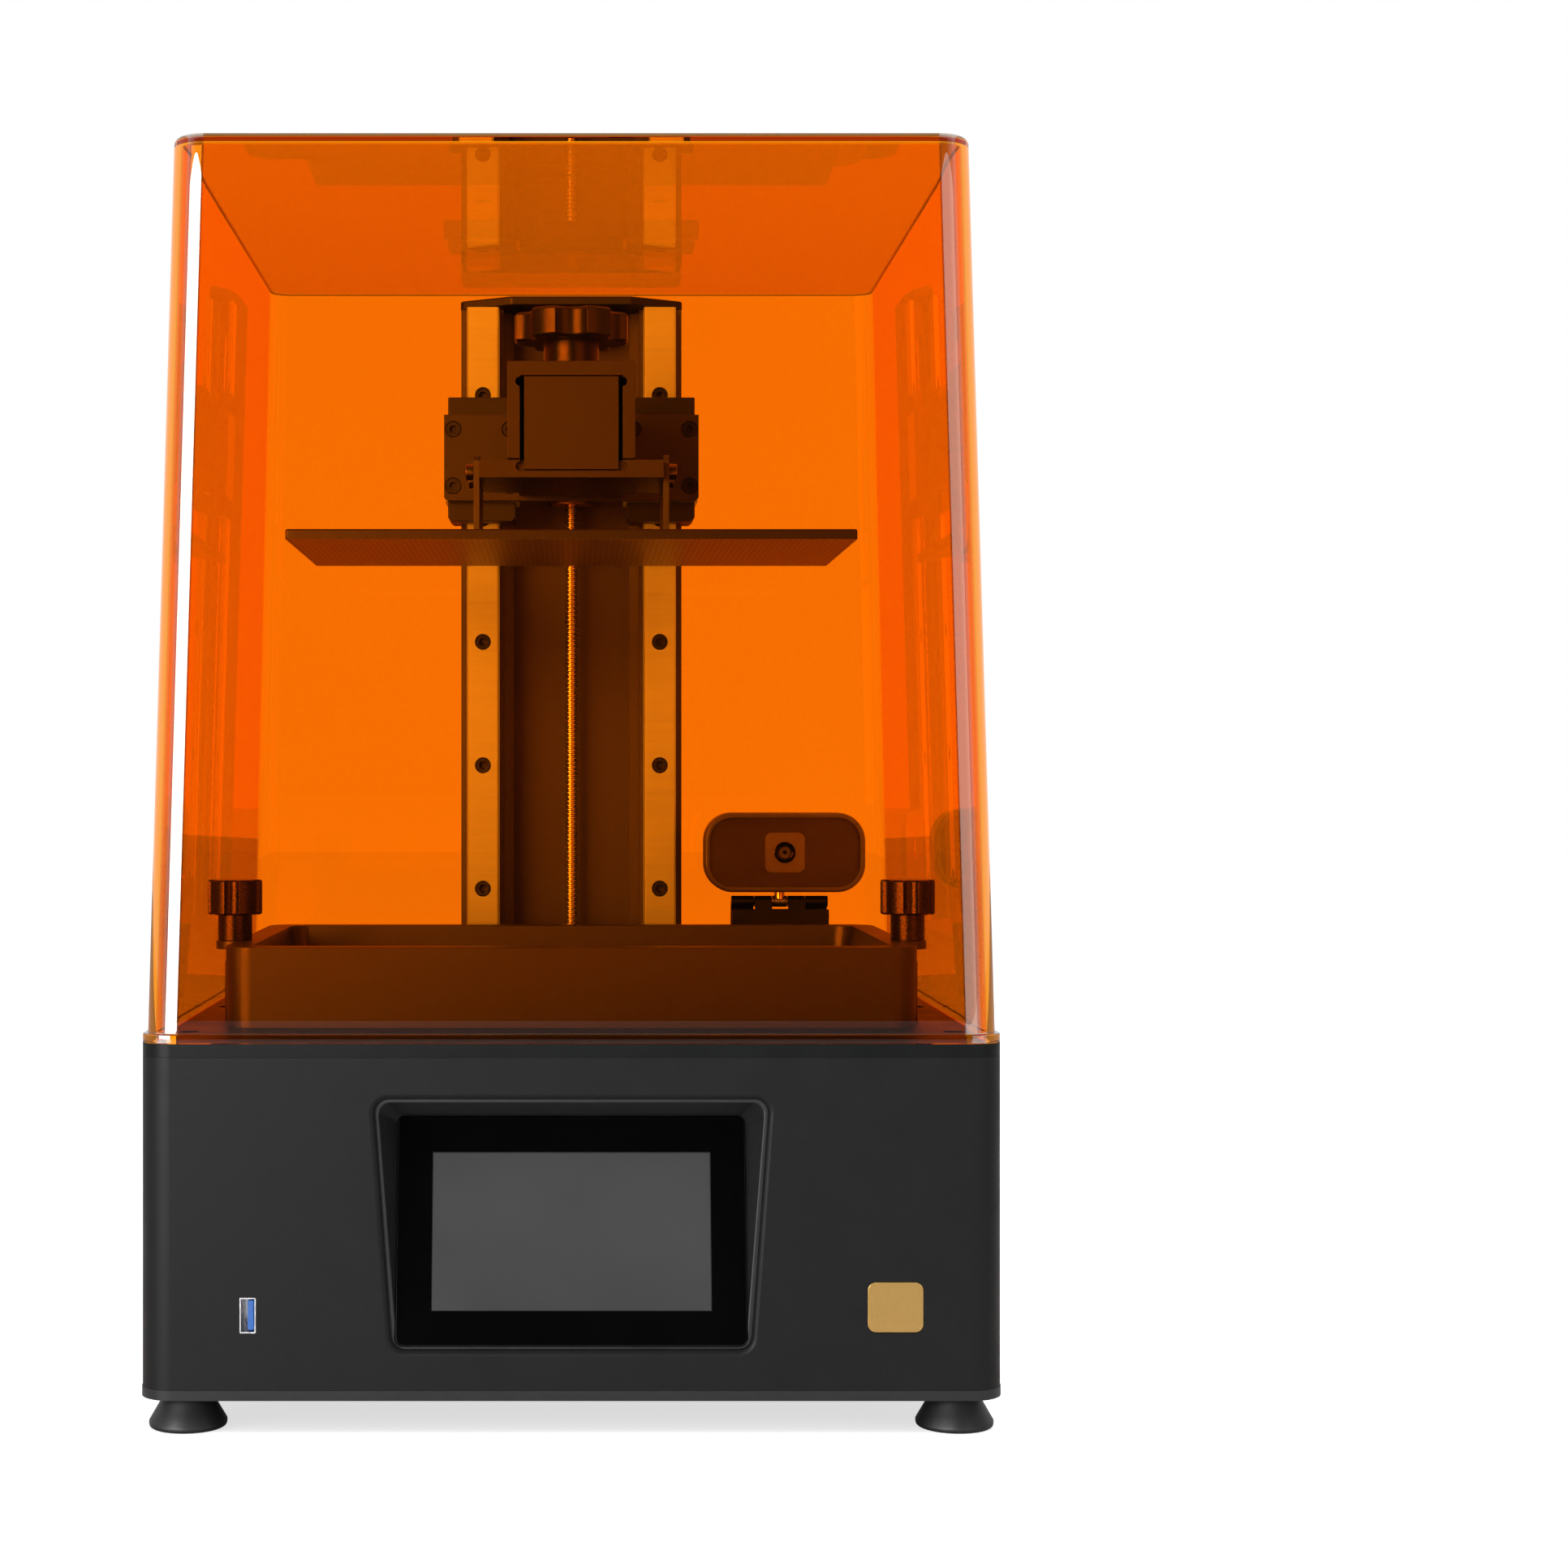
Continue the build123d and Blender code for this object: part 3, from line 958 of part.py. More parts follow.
LEAF_SPREAD = 11.0  # degrees that each leaf of the stand leans from upright
LIP_LOW, LIP_HIGH, LIP_THICK, LIP_CORNER = -11.8, -4.8, 1.2, 3.2  # the raised lip, from the hinge down
leaf_drop = HINGE_Z - DECK
for leaf, sign in (("front", -1), ("rear", 1)):
    # a leaf hangs from the hinge line and leans away from it, down to the deck
    upright = Plane(origin=(HINGE_X, cam_middle, HINGE_Z), x_dir=(1, 0, 0), z_dir=(0, -1, 0))
    lean = upright.rotated((sign * LEAF_SPREAD, 0, 0))
    length = leaf_drop / cos(radians(LEAF_SPREAD)) + 4
    knuckles = (3.8, HINGE_HALF) if leaf == "front" else (HINGE_HALF + 0.3, LEAF_W / 2)
    with BuildPart() as stand_leaf:
        with BuildSketch(lean.offset(-sign * 2.2)):
            with Locations((0, -length / 2 - 3.2)):
                Rectangle(LEAF_W, length - 3.2)
        extrude(amount=-sign * LEAF_THICK)
        for side in (-1, 1):
            with BuildSketch(Plane.YZ.offset(HINGE_X + side * knuckles[0])):
                with Locations((cam_middle, HINGE_Z)):
                    Circle(HINGE_RADIUS)
            extrude(amount=side * (knuckles[1] - knuckles[0]))
            with BuildSketch(lean.offset(-sign * 2.2)):
                with Locations((side * (knuckles[0] + knuckles[1]) / 2, -4.0)):
                    Rectangle(knuckles[1] - knuckles[0], 6.4)
            extrude(amount=-sign * LEAF_THICK)
        if leaf == "front":
            with BuildSketch(lean.offset(-sign * (2.2 + LEAF_THICK))) as lip:
                with Locations((0, (LIP_LOW + LIP_HIGH) / 2)):
                    Rectangle(LEAF_W, LIP_HIGH - LIP_LOW)
                fillet(lip.vertices().group_by(Axis.Y)[0], LIP_CORNER)
            extrude(amount=-sign * LIP_THICK)
        with BuildSketch(Plane.YZ.offset(HINGE_X - LEAF_W)):
            with Locations((cam_middle, HINGE_Z)):
                Circle(1.0 if leaf == "front" else 1.08)
        extrude(amount=2 * LEAF_W, mode=Mode.SUBTRACT)
        with BuildSketch(Plane.XY.offset(DECK)):
            with Locations((HINGE_X, cam_middle)):
                Rectangle(80, 80)
        extrude(amount=-20, mode=Mode.SUBTRACT)
    save(stand_leaf.part, f"stand_leaf_{leaf}")

with BuildPart() as stand_pin:
    with BuildSketch(Plane.YZ.offset(HINGE_X - LEAF_W / 2)):
        with Locations((cam_middle, HINGE_Z)):
            Circle(1.0)
    extrude(amount=LEAF_W)
save(stand_pin.part, "stand_pin")
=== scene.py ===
import json
import math

import bpy
import bmesh
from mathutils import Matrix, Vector

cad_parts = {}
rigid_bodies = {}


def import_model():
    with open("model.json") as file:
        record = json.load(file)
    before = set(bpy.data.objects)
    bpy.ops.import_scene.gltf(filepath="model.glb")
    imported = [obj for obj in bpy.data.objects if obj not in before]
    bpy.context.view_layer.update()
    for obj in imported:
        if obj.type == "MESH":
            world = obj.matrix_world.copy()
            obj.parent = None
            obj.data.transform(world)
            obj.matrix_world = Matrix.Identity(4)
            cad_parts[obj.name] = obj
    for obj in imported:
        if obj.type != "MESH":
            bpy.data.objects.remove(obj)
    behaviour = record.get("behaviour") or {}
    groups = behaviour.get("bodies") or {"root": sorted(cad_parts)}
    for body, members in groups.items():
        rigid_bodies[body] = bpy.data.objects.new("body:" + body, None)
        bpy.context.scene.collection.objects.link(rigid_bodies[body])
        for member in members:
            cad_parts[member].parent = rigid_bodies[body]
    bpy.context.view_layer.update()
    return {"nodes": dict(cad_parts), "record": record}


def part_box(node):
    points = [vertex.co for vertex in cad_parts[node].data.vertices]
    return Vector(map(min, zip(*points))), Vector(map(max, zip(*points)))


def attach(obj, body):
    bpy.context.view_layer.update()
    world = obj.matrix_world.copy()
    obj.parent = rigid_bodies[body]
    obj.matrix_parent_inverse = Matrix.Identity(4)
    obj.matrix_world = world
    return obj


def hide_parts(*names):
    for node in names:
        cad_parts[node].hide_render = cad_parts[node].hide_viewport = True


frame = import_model()
nodes = frame["nodes"]
body_of = {n: b for b, members in frame["record"]["behaviour"]["bodies"].items() for n in members}
slot_of = {s["node"]: s["material_slot"] for s in frame["record"]["subparts"]}
MM = 0.001
scene = bpy.context.scene


# ---------------------------------------------------------------- camera, floor and lights
def make_camera():
    """A level camera straight in front, with the lens shifted so that the machine stands left of centre."""
    data = bpy.data.cameras.new("camera")
    data.sensor_width = 36
    data.lens = 60.06
    data.shift_x = 0.1356
    data.clip_start, data.clip_end = 0.05, 50
    camera = bpy.data.objects.new("camera", data)
    camera.location = (0, -1.121, 0.2377)
    camera.rotation_euler = (math.radians(90), 0, 0)
    scene.collection.objects.link(camera)
    scene.camera = camera


def area_light(name, place, target, size, power, diffuse=True, glossy=True):
    """A white rectangular lamp, given as width and height, that faces a target and is never seen itself."""
    data = bpy.data.lights.new(name, "AREA")
    data.shape = "RECTANGLE"
    data.size, data.size_y = size
    data.energy = power
    light = bpy.data.objects.new(name, data)
    light.location = place
    light.rotation_euler = (Vector(target) - Vector(place)).to_track_quat("-Z", "Y").to_euler()
    light.visible_camera = False
    light.visible_transmission = False
    light.visible_diffuse, light.visible_glossy = diffuse, glossy
    scene.collection.objects.link(light)


ROOM_STRENGTH = 0.36  # of the even light that diffuse surfaces receive
BEHIND_COVER_GAIN = 0.13  # how much brighter the white backdrop is when it's seen through the amber cover


def make_world():
    """A white backdrop for the eye, a room dim towards the front for mirrors, and even light for the rest."""
    world = bpy.data.worlds.new("studio")
    scene.world = world
    world.use_nodes = True
    tree = world.node_tree
    tree.nodes.clear()
    out = tree.nodes.new("ShaderNodeOutputWorld")

    def background(strength):
        node = tree.nodes.new("ShaderNodeBackground")
        node.inputs["Strength"].default_value = strength
        node.inputs["Color"].default_value = (1, 1, 1, 1)
        return node

    def mixed(factor, first, second):
        node = tree.nodes.new("ShaderNodeMixShader")
        tree.links.new(factor, node.inputs[0])
        tree.links.new(first.outputs[0], node.inputs[1])
        tree.links.new(second.outputs[0], node.inputs[2])
        return node

    backdrop, room, mirrored = background(1.0), background(ROOM_STRENGTH), background(1.0)
    coords = tree.nodes.new("ShaderNodeTexCoord")
    split = tree.nodes.new("ShaderNodeSeparateXYZ")
    ramp = tree.nodes.new("ShaderNodeValToRGB")
    front, back = ramp.color_ramp.elements
    front.position, front.color = 0.1, (0.012, 0.012, 0.012, 1)
    back.position, back.color = 0.62, (1, 1, 1, 1)
    facing = tree.nodes.new("ShaderNodeMapRange")
    facing.inputs["From Min"].default_value, facing.inputs["From Max"].default_value = -1, 1
    tree.links.new(coords.outputs["Generated"], split.inputs[0])
    tree.links.new(split.outputs["Y"], facing.inputs["Value"])
    tree.links.new(facing.outputs[0], ramp.inputs[0])
    tree.links.new(ramp.outputs[0], mirrored.inputs["Color"])
    path = tree.nodes.new("ShaderNodeLightPath")
    either = tree.nodes.new("ShaderNodeMath")
    either.operation = "MAXIMUM"
    tree.links.new(path.outputs["Is Camera Ray"], either.inputs[0])
    tree.links.new(path.outputs["Is Transmission Ray"], either.inputs[1])
    through = tree.nodes.new("ShaderNodeMath")
    through.operation = "MULTIPLY_ADD"
    tree.links.new(path.outputs["Is Transmission Ray"], through.inputs[0])
    through.inputs[1].default_value, through.inputs[2].default_value = BEHIND_COVER_GAIN, 1.0
    tree.links.new(through.outputs[0], backdrop.inputs["Strength"])
    unseen = mixed(path.outputs["Is Glossy Ray"], room, mirrored)
    tree.links.new(mixed(either.outputs[0], unseen, backdrop).outputs[0], out.inputs["Surface"])


make_camera()
make_world()
scene.view_settings.view_transform = "Standard"
scene.view_settings.look = "None"

area_light("top_softbox", (0.1, -0.3, 1.9), (0, 0, 0.2), (1.6, 1.4), 32, glossy=False)
area_light("left_softbox", (-1.5, -1.1, 0.55), (0, 0, 0.25), (0.7, 1.5), 7, glossy=False)
area_light("right_softbox", (1.6, -0.8, 0.6), (0, 0, 0.25), (0.5, 1.4), 3, glossy=False)
# Far screens for mirrors only, one to each side of the camera. There's a strong and a weak pair in the same
# two places; split_lamps() at the end says which pieces mirror which pair. Each has its side and its power.
SCREENS = {"left_strip": (-1, 236), "right_strip": (1, 30), "left_sheen": (-1, 28), "right_sheen": (1, 4)}
SCREEN_X, SCREEN_Y, SCREEN_Z = 1.872, -2.856, 0.725
SCREEN_SIZE = 2.19, 1.43
CORNER_X, CORNER_Y = 0.155, -0.16  # the cover's front corner that a screen faces
for name, (side, power) in SCREENS.items():
    place = (side * SCREEN_X, SCREEN_Y, SCREEN_Z)
    target = (side * CORNER_X, CORNER_Y, SCREEN_Z)
    area_light(name, place, target, SCREEN_SIZE, power, diffuse=False)


# ---------------------------------------------------------------- materials
class Nodes:
    """Short names for building one material's node tree."""

    def __init__(self, name):
        self.material = bpy.data.materials.new(name)
        self.material.use_nodes = True
        self.tree = self.material.node_tree
        self.tree.nodes.clear()
        self.out = self.tree.nodes.new("ShaderNodeOutputMaterial")
        self.coords = self.add("ShaderNodeTexCoord").outputs["Object"]

    def add(self, kind, **settings):
        node = self.tree.nodes.new(kind)
        for key, value in settings.items():
            setattr(node, key, value)
        return node

    def link(self, source, target):
        self.tree.links.new(source, target)

    def stretched(self, scale, rotation=(0, 0, 0)):
        node = self.add("ShaderNodeMapping")
        node.inputs["Scale"].default_value = scale
        node.inputs["Rotation"].default_value = rotation
        self.link(self.coords, node.inputs["Vector"])
        return node.outputs[0]

    def noise(self, scale, detail=4.0, rough=0.55, vector=None):
        node = self.add("ShaderNodeTexNoise")
        node.inputs["Scale"].default_value = scale
        node.inputs["Detail"].default_value = detail
        node.inputs["Roughness"].default_value = rough
        self.link(vector or self.coords, node.inputs["Vector"])
        return node.outputs["Fac"]

    def remap(self, value, low, high, source_low=0.3, source_high=0.7):
        node = self.add("ShaderNodeMapRange")
        node.inputs["From Min"].default_value, node.inputs["From Max"].default_value = source_low, source_high
        node.inputs["To Min"].default_value, node.inputs["To Max"].default_value = low, high
        self.link(value, node.inputs["Value"])
        return node.outputs[0]

    def blend(self, factor, first, second):
        node = self.add("ShaderNodeMix", data_type="RGBA")
        for socket, value in ((node.inputs[6], first), (node.inputs[7], second)):
            if isinstance(value, tuple):
                socket.default_value = (*value[:3], 1)
            else:
                self.link(value, socket)
        self.link(factor, node.inputs[0])
        return node.outputs[2]

    def math(self, operation, first, second=0.0):
        node = self.add("ShaderNodeMath", operation=operation)
        for socket, value in ((node.inputs[0], first), (node.inputs[1], second)):
            if isinstance(value, (int, float)):
                socket.default_value = value
            else:
                self.link(value, socket)
        return node.outputs[0]

    def bump(self, height, strength, distance, normal=None):
        node = self.add("ShaderNodeBump")
        node.inputs["Strength"].default_value = strength
        node.inputs["Distance"].default_value = distance
        self.link(height, node.inputs["Height"])
        if normal is not None:
            self.link(normal, node.inputs["Normal"])
        return node.outputs[0]

    def shader(self, **inputs):
        node = self.add("ShaderNodeBsdfPrincipled")
        for key, value in inputs.items():
            socket = node.inputs[key.replace("_", " ")]
            if isinstance(value, tuple):
                socket.default_value = (*value[:3], 1)
            elif isinstance(value, (int, float)):
                socket.default_value = value
            else:
                self.link(value, socket)
        return node

    def done(self, shader):
        self.link(shader.outputs[0], self.out.inputs["Surface"])
        return self.material


def shade(color, factor):
    return tuple(min(1.0, c * factor) for c in color)


def painted(name, color, rough=0.45, grain=900.0, depth=0.00005, level=0.35, variation=0.04):
    """Powder coat or moulded plastic: a fine grain, a slow drift of tone and uneven gloss."""
    m = Nodes(name)
    slow, fine = m.noise(14.0), m.noise(grain, 3.0)
    tone = m.blend(m.remap(slow, 0, 1), shade(color, 1 - variation), shade(color, 1 + variation))
    tone = m.blend(m.remap(fine, 0, 0.25), tone, shade(color, 1.5))
    return m.done(m.shader(
        Base_Color=tone, Roughness=m.remap(m.noise(60.0), rough - 0.05, rough + 0.06),
        Specular_IOR_Level=level, Normal=m.bump(fine, 0.35, depth),
    ))


def metal(name, color, rough=0.3, stretch=(1, 1, 1), grain=700.0, depth=0.00003, metallic=1.0, variation=0.1):
    """Worked metal: fine tool marks drawn out along one direction, in tone, gloss and relief."""
    m = Nodes(name)
    marks = m.noise(grain, 3.0, 0.6, m.stretched(stretch))
    tone = m.blend(m.remap(marks, 0, 1), shade(color, 1 - variation), shade(color, 1 + variation))
    tone = m.blend(m.remap(m.noise(25.0), 0, 0.5), tone, shade(color, 0.9))
    return m.done(m.shader(
        Base_Color=tone, Metallic=metallic, Roughness=m.remap(marks, rough - 0.05, rough + 0.09),
        Normal=m.bump(marks, 0.4, depth),
    ))


def glassy(name, color, rough=0.06):
    """A dark printed glass or polished plate, with faint dust and finger haze in its gloss."""
    m = Nodes(name)
    haze = m.noise(35.0, 6.0)
    tone = m.blend(m.remap(haze, 0, 1), shade(color, 0.9), shade(color, 1.15))
    return m.done(m.shader(Base_Color=tone, Roughness=m.remap(haze, rough, rough + 0.05)))


def display(name, low, high):
    """An unlit display behind glass, with a painted sheen that makes it paler towards its upper right corner.
    """
    m = Nodes(name)
    split = m.add("ShaderNodeSeparateXYZ")
    m.link(m.coords, split.inputs[0])
    painted_sheen_slant = m.math("ADD", m.math("MULTIPLY", split.outputs["X"], 0.55), split.outputs["Z"])
    # painted sheen: the tone runs from low to high towards the upper right corner
    tone = m.blend(m.remap(painted_sheen_slant, 0, 1, 0.03, 0.14), low, high)
    tone = m.blend(m.remap(m.noise(900.0, 2.0), 0, 0.06), tone, high)
    gloss = m.remap(m.noise(40.0), 0.3, 0.34)
    return m.done(m.shader(Base_Color=tone, Roughness=gloss, Specular_IOR_Level=0.2))


LOZENGE_PITCH = 3.2 * MM


def etched(name, color):
    """A blasted plate with rows of shallow lozenges cut in by laser on its underside; the rest is darker."""
    m = Nodes(name)
    checker = m.add("ShaderNodeTexVoronoi", distance="CHEBYCHEV")
    checker.inputs["Scale"].default_value = 1.0 / LOZENGE_PITCH
    checker.inputs["Randomness"].default_value = 0.0
    m.link(m.stretched((1, 1, 0.0), rotation=(0, 0, math.radians(45))), checker.inputs["Vector"])
    split = m.add("ShaderNodeSeparateXYZ")
    m.link(m.add("ShaderNodeTexCoord").outputs["Normal"], split.inputs[0])
    under = m.remap(split.outputs["Z"], 1, 0, -0.9, -0.5)
    cell = m.math("MULTIPLY", m.remap(checker.outputs["Distance"], 0, 1, 0.28, 0.42), under)
    fine = m.noise(1500.0, 3.0)
    tone = m.blend(cell, shade(color, 1.25), shade(color, 0.6))
    tone = m.blend(m.remap(fine, 0, 0.3), tone, shade(color, 0.7))
    tone = m.blend(under, shade(color, 0.18), tone)
    rough = m.remap(cell, 0.34, 0.5, 0, 1)
    relief = m.bump(cell, 0.5, 0.1 * MM, m.bump(fine, 0.3, 0.03 * MM))
    return m.done(m.shader(Base_Color=tone, Metallic=0.9, Roughness=rough, Normal=relief))


TOP_EDGE_PAINTED_SHADE = (0.06, 0.035, 0.001)  # painted shade: a darker tint on the roof's rounded edge, where the sheet is seen lengthwise
TOP_EDGE_FROM, TOP_EDGE_FULL = 2.4 * MM, 1.6 * MM  # where the painted shade begins and where it is full, below the roof's outer face
# The front corners are polished harder than the walls, so that a modest lamp draws the photograph's white
# strip in them. The polish fades in and out over these ranges: first of the normal's X, then of a point's Y
# and of the normal's Y.
POLISH_IN, POLISH_OUT = (0.02, 0.04), (0.42, 0.5)
POLISH_FRONT, POLISH_OUTWARD = (-0.12, -0.1), (-0.5, -0.3)
POLISH_IOR = 4.0


def amber(name, tint, reach, deep):
    """Tinted acrylic that bends and mirrors for the eye, and lets lamps reach what stands behind it.

    Shadow and diffuse rays, and what glossy pieces mirror, pass it unbent: the first two with the tint called
    reach, the last with the one called deep.
    """
    m = Nodes(name)
    tone = m.blend(m.remap(m.noise(3.0), 0, 1), shade(tint, 0.97), tint)
    split = m.add("ShaderNodeSeparateXYZ")
    m.link(m.coords, split.inputs[0])
    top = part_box("cover")[1].z
    facing = m.add("ShaderNodeSeparateXYZ")
    m.link(m.add("ShaderNodeTexCoord").outputs["Normal"], facing.inputs[0])
    rounded = m.remap(m.math("ABSOLUTE", facing.outputs["Z"]), 1, 0, 0.95, 0.995)  # not the flat of the roof
    # painted shade: the roof's rounded edge gets the darker tint, fading in towards the top
    high_up = m.remap(split.outputs["Z"], 0, 1, top - TOP_EDGE_FROM, top - TOP_EDGE_FULL)
    edge = m.math("MULTIPLY", high_up, rounded)
    tone = m.blend(edge, tone, TOP_EDGE_PAINTED_SHADE)
    turned = m.math("ABSOLUTE", facing.outputs["X"])
    polish = m.math("MULTIPLY", m.remap(turned, 0, 1, *POLISH_IN), m.remap(turned, 1, 0, *POLISH_OUT))
    polish = m.math("MULTIPLY", polish, m.remap(split.outputs["Y"], 1, 0, *POLISH_FRONT))
    polish = m.math("MULTIPLY", polish, m.remap(facing.outputs["Y"], 1, 0, *POLISH_OUTWARD))
    acrylic = m.shader(
        Base_Color=tone, Roughness=0.0, IOR=1.49, Transmission_Weight=1.0,
        Coat_Weight=polish, Coat_IOR=POLISH_IOR, Coat_Roughness=0.0,
    )
    path = m.add("ShaderNodeLightPath")
    unbent = m.math("SUBTRACT", 1.0, path.outputs["Is Transmission Ray"])
    mirrored = m.math("MULTIPLY", path.outputs["Is Glossy Ray"], unbent)
    straight = m.math("MAXIMUM", path.outputs["Is Shadow Ray"], path.outputs["Is Diffuse Ray"])
    straight = m.math("MAXIMUM", straight, mirrored)
    clear = m.add("ShaderNodeBsdfTransparent")
    m.link(m.blend(mirrored, reach, deep), clear.inputs["Color"])
    mix = m.add("ShaderNodeMixShader")
    m.link(straight, mix.inputs[0])
    m.link(acrylic.outputs[0], mix.inputs[1])
    m.link(clear.outputs[0], mix.inputs[2])
    return m.done(mix)


def lens(name):
    """Coated glass: a dark pupil, a paler ring round it that is a painted reflection, and a dark barrel."""
    m = Nodes(name)
    low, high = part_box("webcam_lens")
    middle = (low + high) / 2
    offset = m.add("ShaderNodeVectorMath", operation="SUBTRACT")
    m.link(m.coords, offset.inputs[0])
    offset.inputs[1].default_value = middle
    flat = m.add("ShaderNodeVectorMath", operation="MULTIPLY")
    m.link(offset.outputs[0], flat.inputs[0])
    flat.inputs[1].default_value = (1, 0, 1)
    length = m.add("ShaderNodeVectorMath", operation="LENGTH")
    m.link(flat.outputs[0], length.inputs[0])
    radius = length.outputs["Value"]
    past_pupil = m.remap(radius, 0, 1, 0.7 * MM, 1.3 * MM)
    before_barrel = m.remap(radius, 1, 0, 2.3 * MM, 3.1 * MM)
    # painted reflection: a paler ring between the pupil and the barrel
    ring_reflection = m.math("MULTIPLY", past_pupil, before_barrel)
    ring_reflection = m.math("MULTIPLY", ring_reflection, m.remap(m.noise(500.0), 0.6, 1))
    tone = m.blend(ring_reflection, (0.004, 0.004, 0.007), (0.30, 0.22, 0.24))
    gloss = m.remap(m.noise(35.0), 0.03, 0.08)
    return m.done(m.shader(Base_Color=tone, Roughness=gloss, Specular_IOR_Level=0.8))


slots = {
    "housing_paint": painted("housing_paint", (0.0118, 0.0118, 0.0121), 0.46, level=0.1),
    "trim_paint": painted("trim_paint", (0.03, 0.03, 0.031), 0.42, level=0.15),
    "frame_paint": painted("frame_paint", (0.005, 0.0055, 0.006), 0.42, level=0.1),
    "foot_rubber": painted("foot_rubber", (0.006, 0.006, 0.006), 0.5, 500.0, 0.0001),
    "black_steel": metal("black_steel", (0.022, 0.021, 0.021), 0.35, metallic=0.6),
    "black_plastic": painted("black_plastic", (0.012, 0.012, 0.013), 0.42, 700.0),
    "black_glass": glassy("black_glass", (0.002, 0.002, 0.0022)),
    # the screen's paler tone is a painted sheen towards its upper right corner
    "screen_grey": display("screen_grey", (0.042, 0.042, 0.043), (0.087, 0.087, 0.088)),
    "plated_steel": metal("plated_steel", (0.62, 0.62, 0.64), 0.22, (1, 8, 1)),
    "blue_plastic": painted("blue_plastic", (0.03, 0.17, 0.62), 0.4),
    "gold_plate": metal("gold_plate", (0.425, 0.25, 0.067), 0.34, (8, 1, 1), metallic=0.6),
    "lcd_glass": glassy("lcd_glass", (0.01, 0.01, 0.012)),
    "white_plastic": painted("white_plastic", (0.7, 0.7, 0.69), 0.4),
    "board_green": painted("board_green", (0.01, 0.10, 0.04), 0.3, 400.0),
    "plain_aluminium": metal("plain_aluminium", (0.75, 0.76, 0.77), 0.3, (1, 1, 6)),
    "galvanised_steel": metal("galvanised_steel", (0.55, 0.56, 0.57), 0.4, (1, 1, 1), 60.0),
    "black_anodised": metal("black_anodised", (0.038, 0.027, 0.023), 0.46, (1, 1, 5), metallic=0.3),
    "rail_steel": metal(
        "rail_steel", (0.79, 0.86, 0.92), 0.4, (0.02, 1, 1.2), 900.0, 0.00001, metallic=0.2, variation=0.05,
    ),
    "motor_black": painted("motor_black", (0.015, 0.015, 0.015), 0.4),
    "screw_steel": metal("screw_steel", (0.60, 0.59, 0.58), 0.28, (1, 1, 3)),
    "green_plastic": painted("green_plastic", (0.02, 0.018, 0.016), 0.4),
    "brass": metal("brass", (0.68, 0.46, 0.16), 0.3, (1, 1, 6)),
    "leg_steel": metal("leg_steel", (0.075, 0.07, 0.067), 0.42, (1, 1, 5), metallic=0.7),
    "etched_aluminium": etched("etched_aluminium", (0.30, 0.295, 0.29)),
    "bright_screws": metal("bright_screws", (0.2, 0.2, 0.2), 0.24),
    "knob_plastic": painted("knob_plastic", (0.014, 0.013, 0.012), 0.3),
    "vat_anodised": metal("vat_anodised", (0.052, 0.039, 0.034), 0.4, (1, 1, 6), metallic=0.4),
    "film_clear": glassy("film_clear", (0.35, 0.36, 0.38)),
    "thumb_metal": metal("thumb_metal", (0.035, 0.026, 0.024), 0.26, (1, 1, 6), metallic=0.7, depth=0.00001),
    "amber_acrylic": amber("amber_acrylic", (1.0, 0.41, 0.02), (1.0, 0.74, 0.46), (1.0, 0.5, 0.03)),
    "camera_plastic": painted("camera_plastic", (0.18, 0.12, 0.11), 0.34),
    "camera_glass": glassy("camera_glass", (0.108, 0.063, 0.058), 0.2),
    "camera_window": painted("camera_window", (0.275, 0.165, 0.155), 0.4),
    "stand_plastic": painted("stand_plastic", (0.006, 0.005, 0.005), 0.34, level=0.25),
    # painted light: a lighter copy of black_anodised that brightens the tower column's shaded channel
    "column_painted_light": metal("column_painted_light", (0.082, 0.058, 0.045), 0.46, (1, 1, 5), metallic=0.25),
    "lens_glass": lens("lens_glass"),
}


# nodes that share a record slot with others but look different from them in the photograph
OWN_LOOKS = {
    # painted light: the tower column takes a lighter copy of black anodising for its shaded channel
    "tower_column": "column_painted_light",
    "stand_leaf_front": "stand_plastic",
    "stand_leaf_rear": "stand_plastic",
}


def dress(obj, slot):
    obj.data.materials.clear()
    obj.data.materials.append(slots[slot])


for name, node in nodes.items():
    dress(node, slot_of[name])


FLOOR_GLOW = 0.68  # lifts the floor to the white of the backdrop, for the eye only


def floor_piece():
    """A wide pale floor that catches the machine's shadow."""
    m = Nodes("pale_floor")
    tone = m.blend(m.remap(m.noise(2.0), 0, 1), (0.86, 0.86, 0.86), (0.9, 0.9, 0.9))
    path = m.add("ShaderNodeLightPath")
    seen = m.math("MAXIMUM", path.outputs["Is Camera Ray"], path.outputs["Is Transmission Ray"])
    material = m.done(m.shader(
        Base_Color=tone, Roughness=0.75, Specular_IOR_Level=0.1,
        Emission_Color=(1, 1, 1), Emission_Strength=m.math("MULTIPLY", seen, FLOOR_GLOW),
    ))
    mesh = bpy.data.meshes.new("floor")
    mesh.from_pydata([(-6, -4, 0), (6, -4, 0), (6, 8, 0), (-6, 8, 0)], [], [(0, 1, 2, 3)])
    mesh.materials.append(material)
    floor = bpy.data.objects.new("floor", mesh)
    scene.collection.objects.link(floor)


floor_piece()


# ---------------------------------------------------------------- helpers for pieces
SAME_POINT = 0.002 * MM  # CAD points closer than this are one
BEVEL_ANGLE = 32.0  # degrees; blunter edges are left as they are
LONG_EDGE = 100 * MM


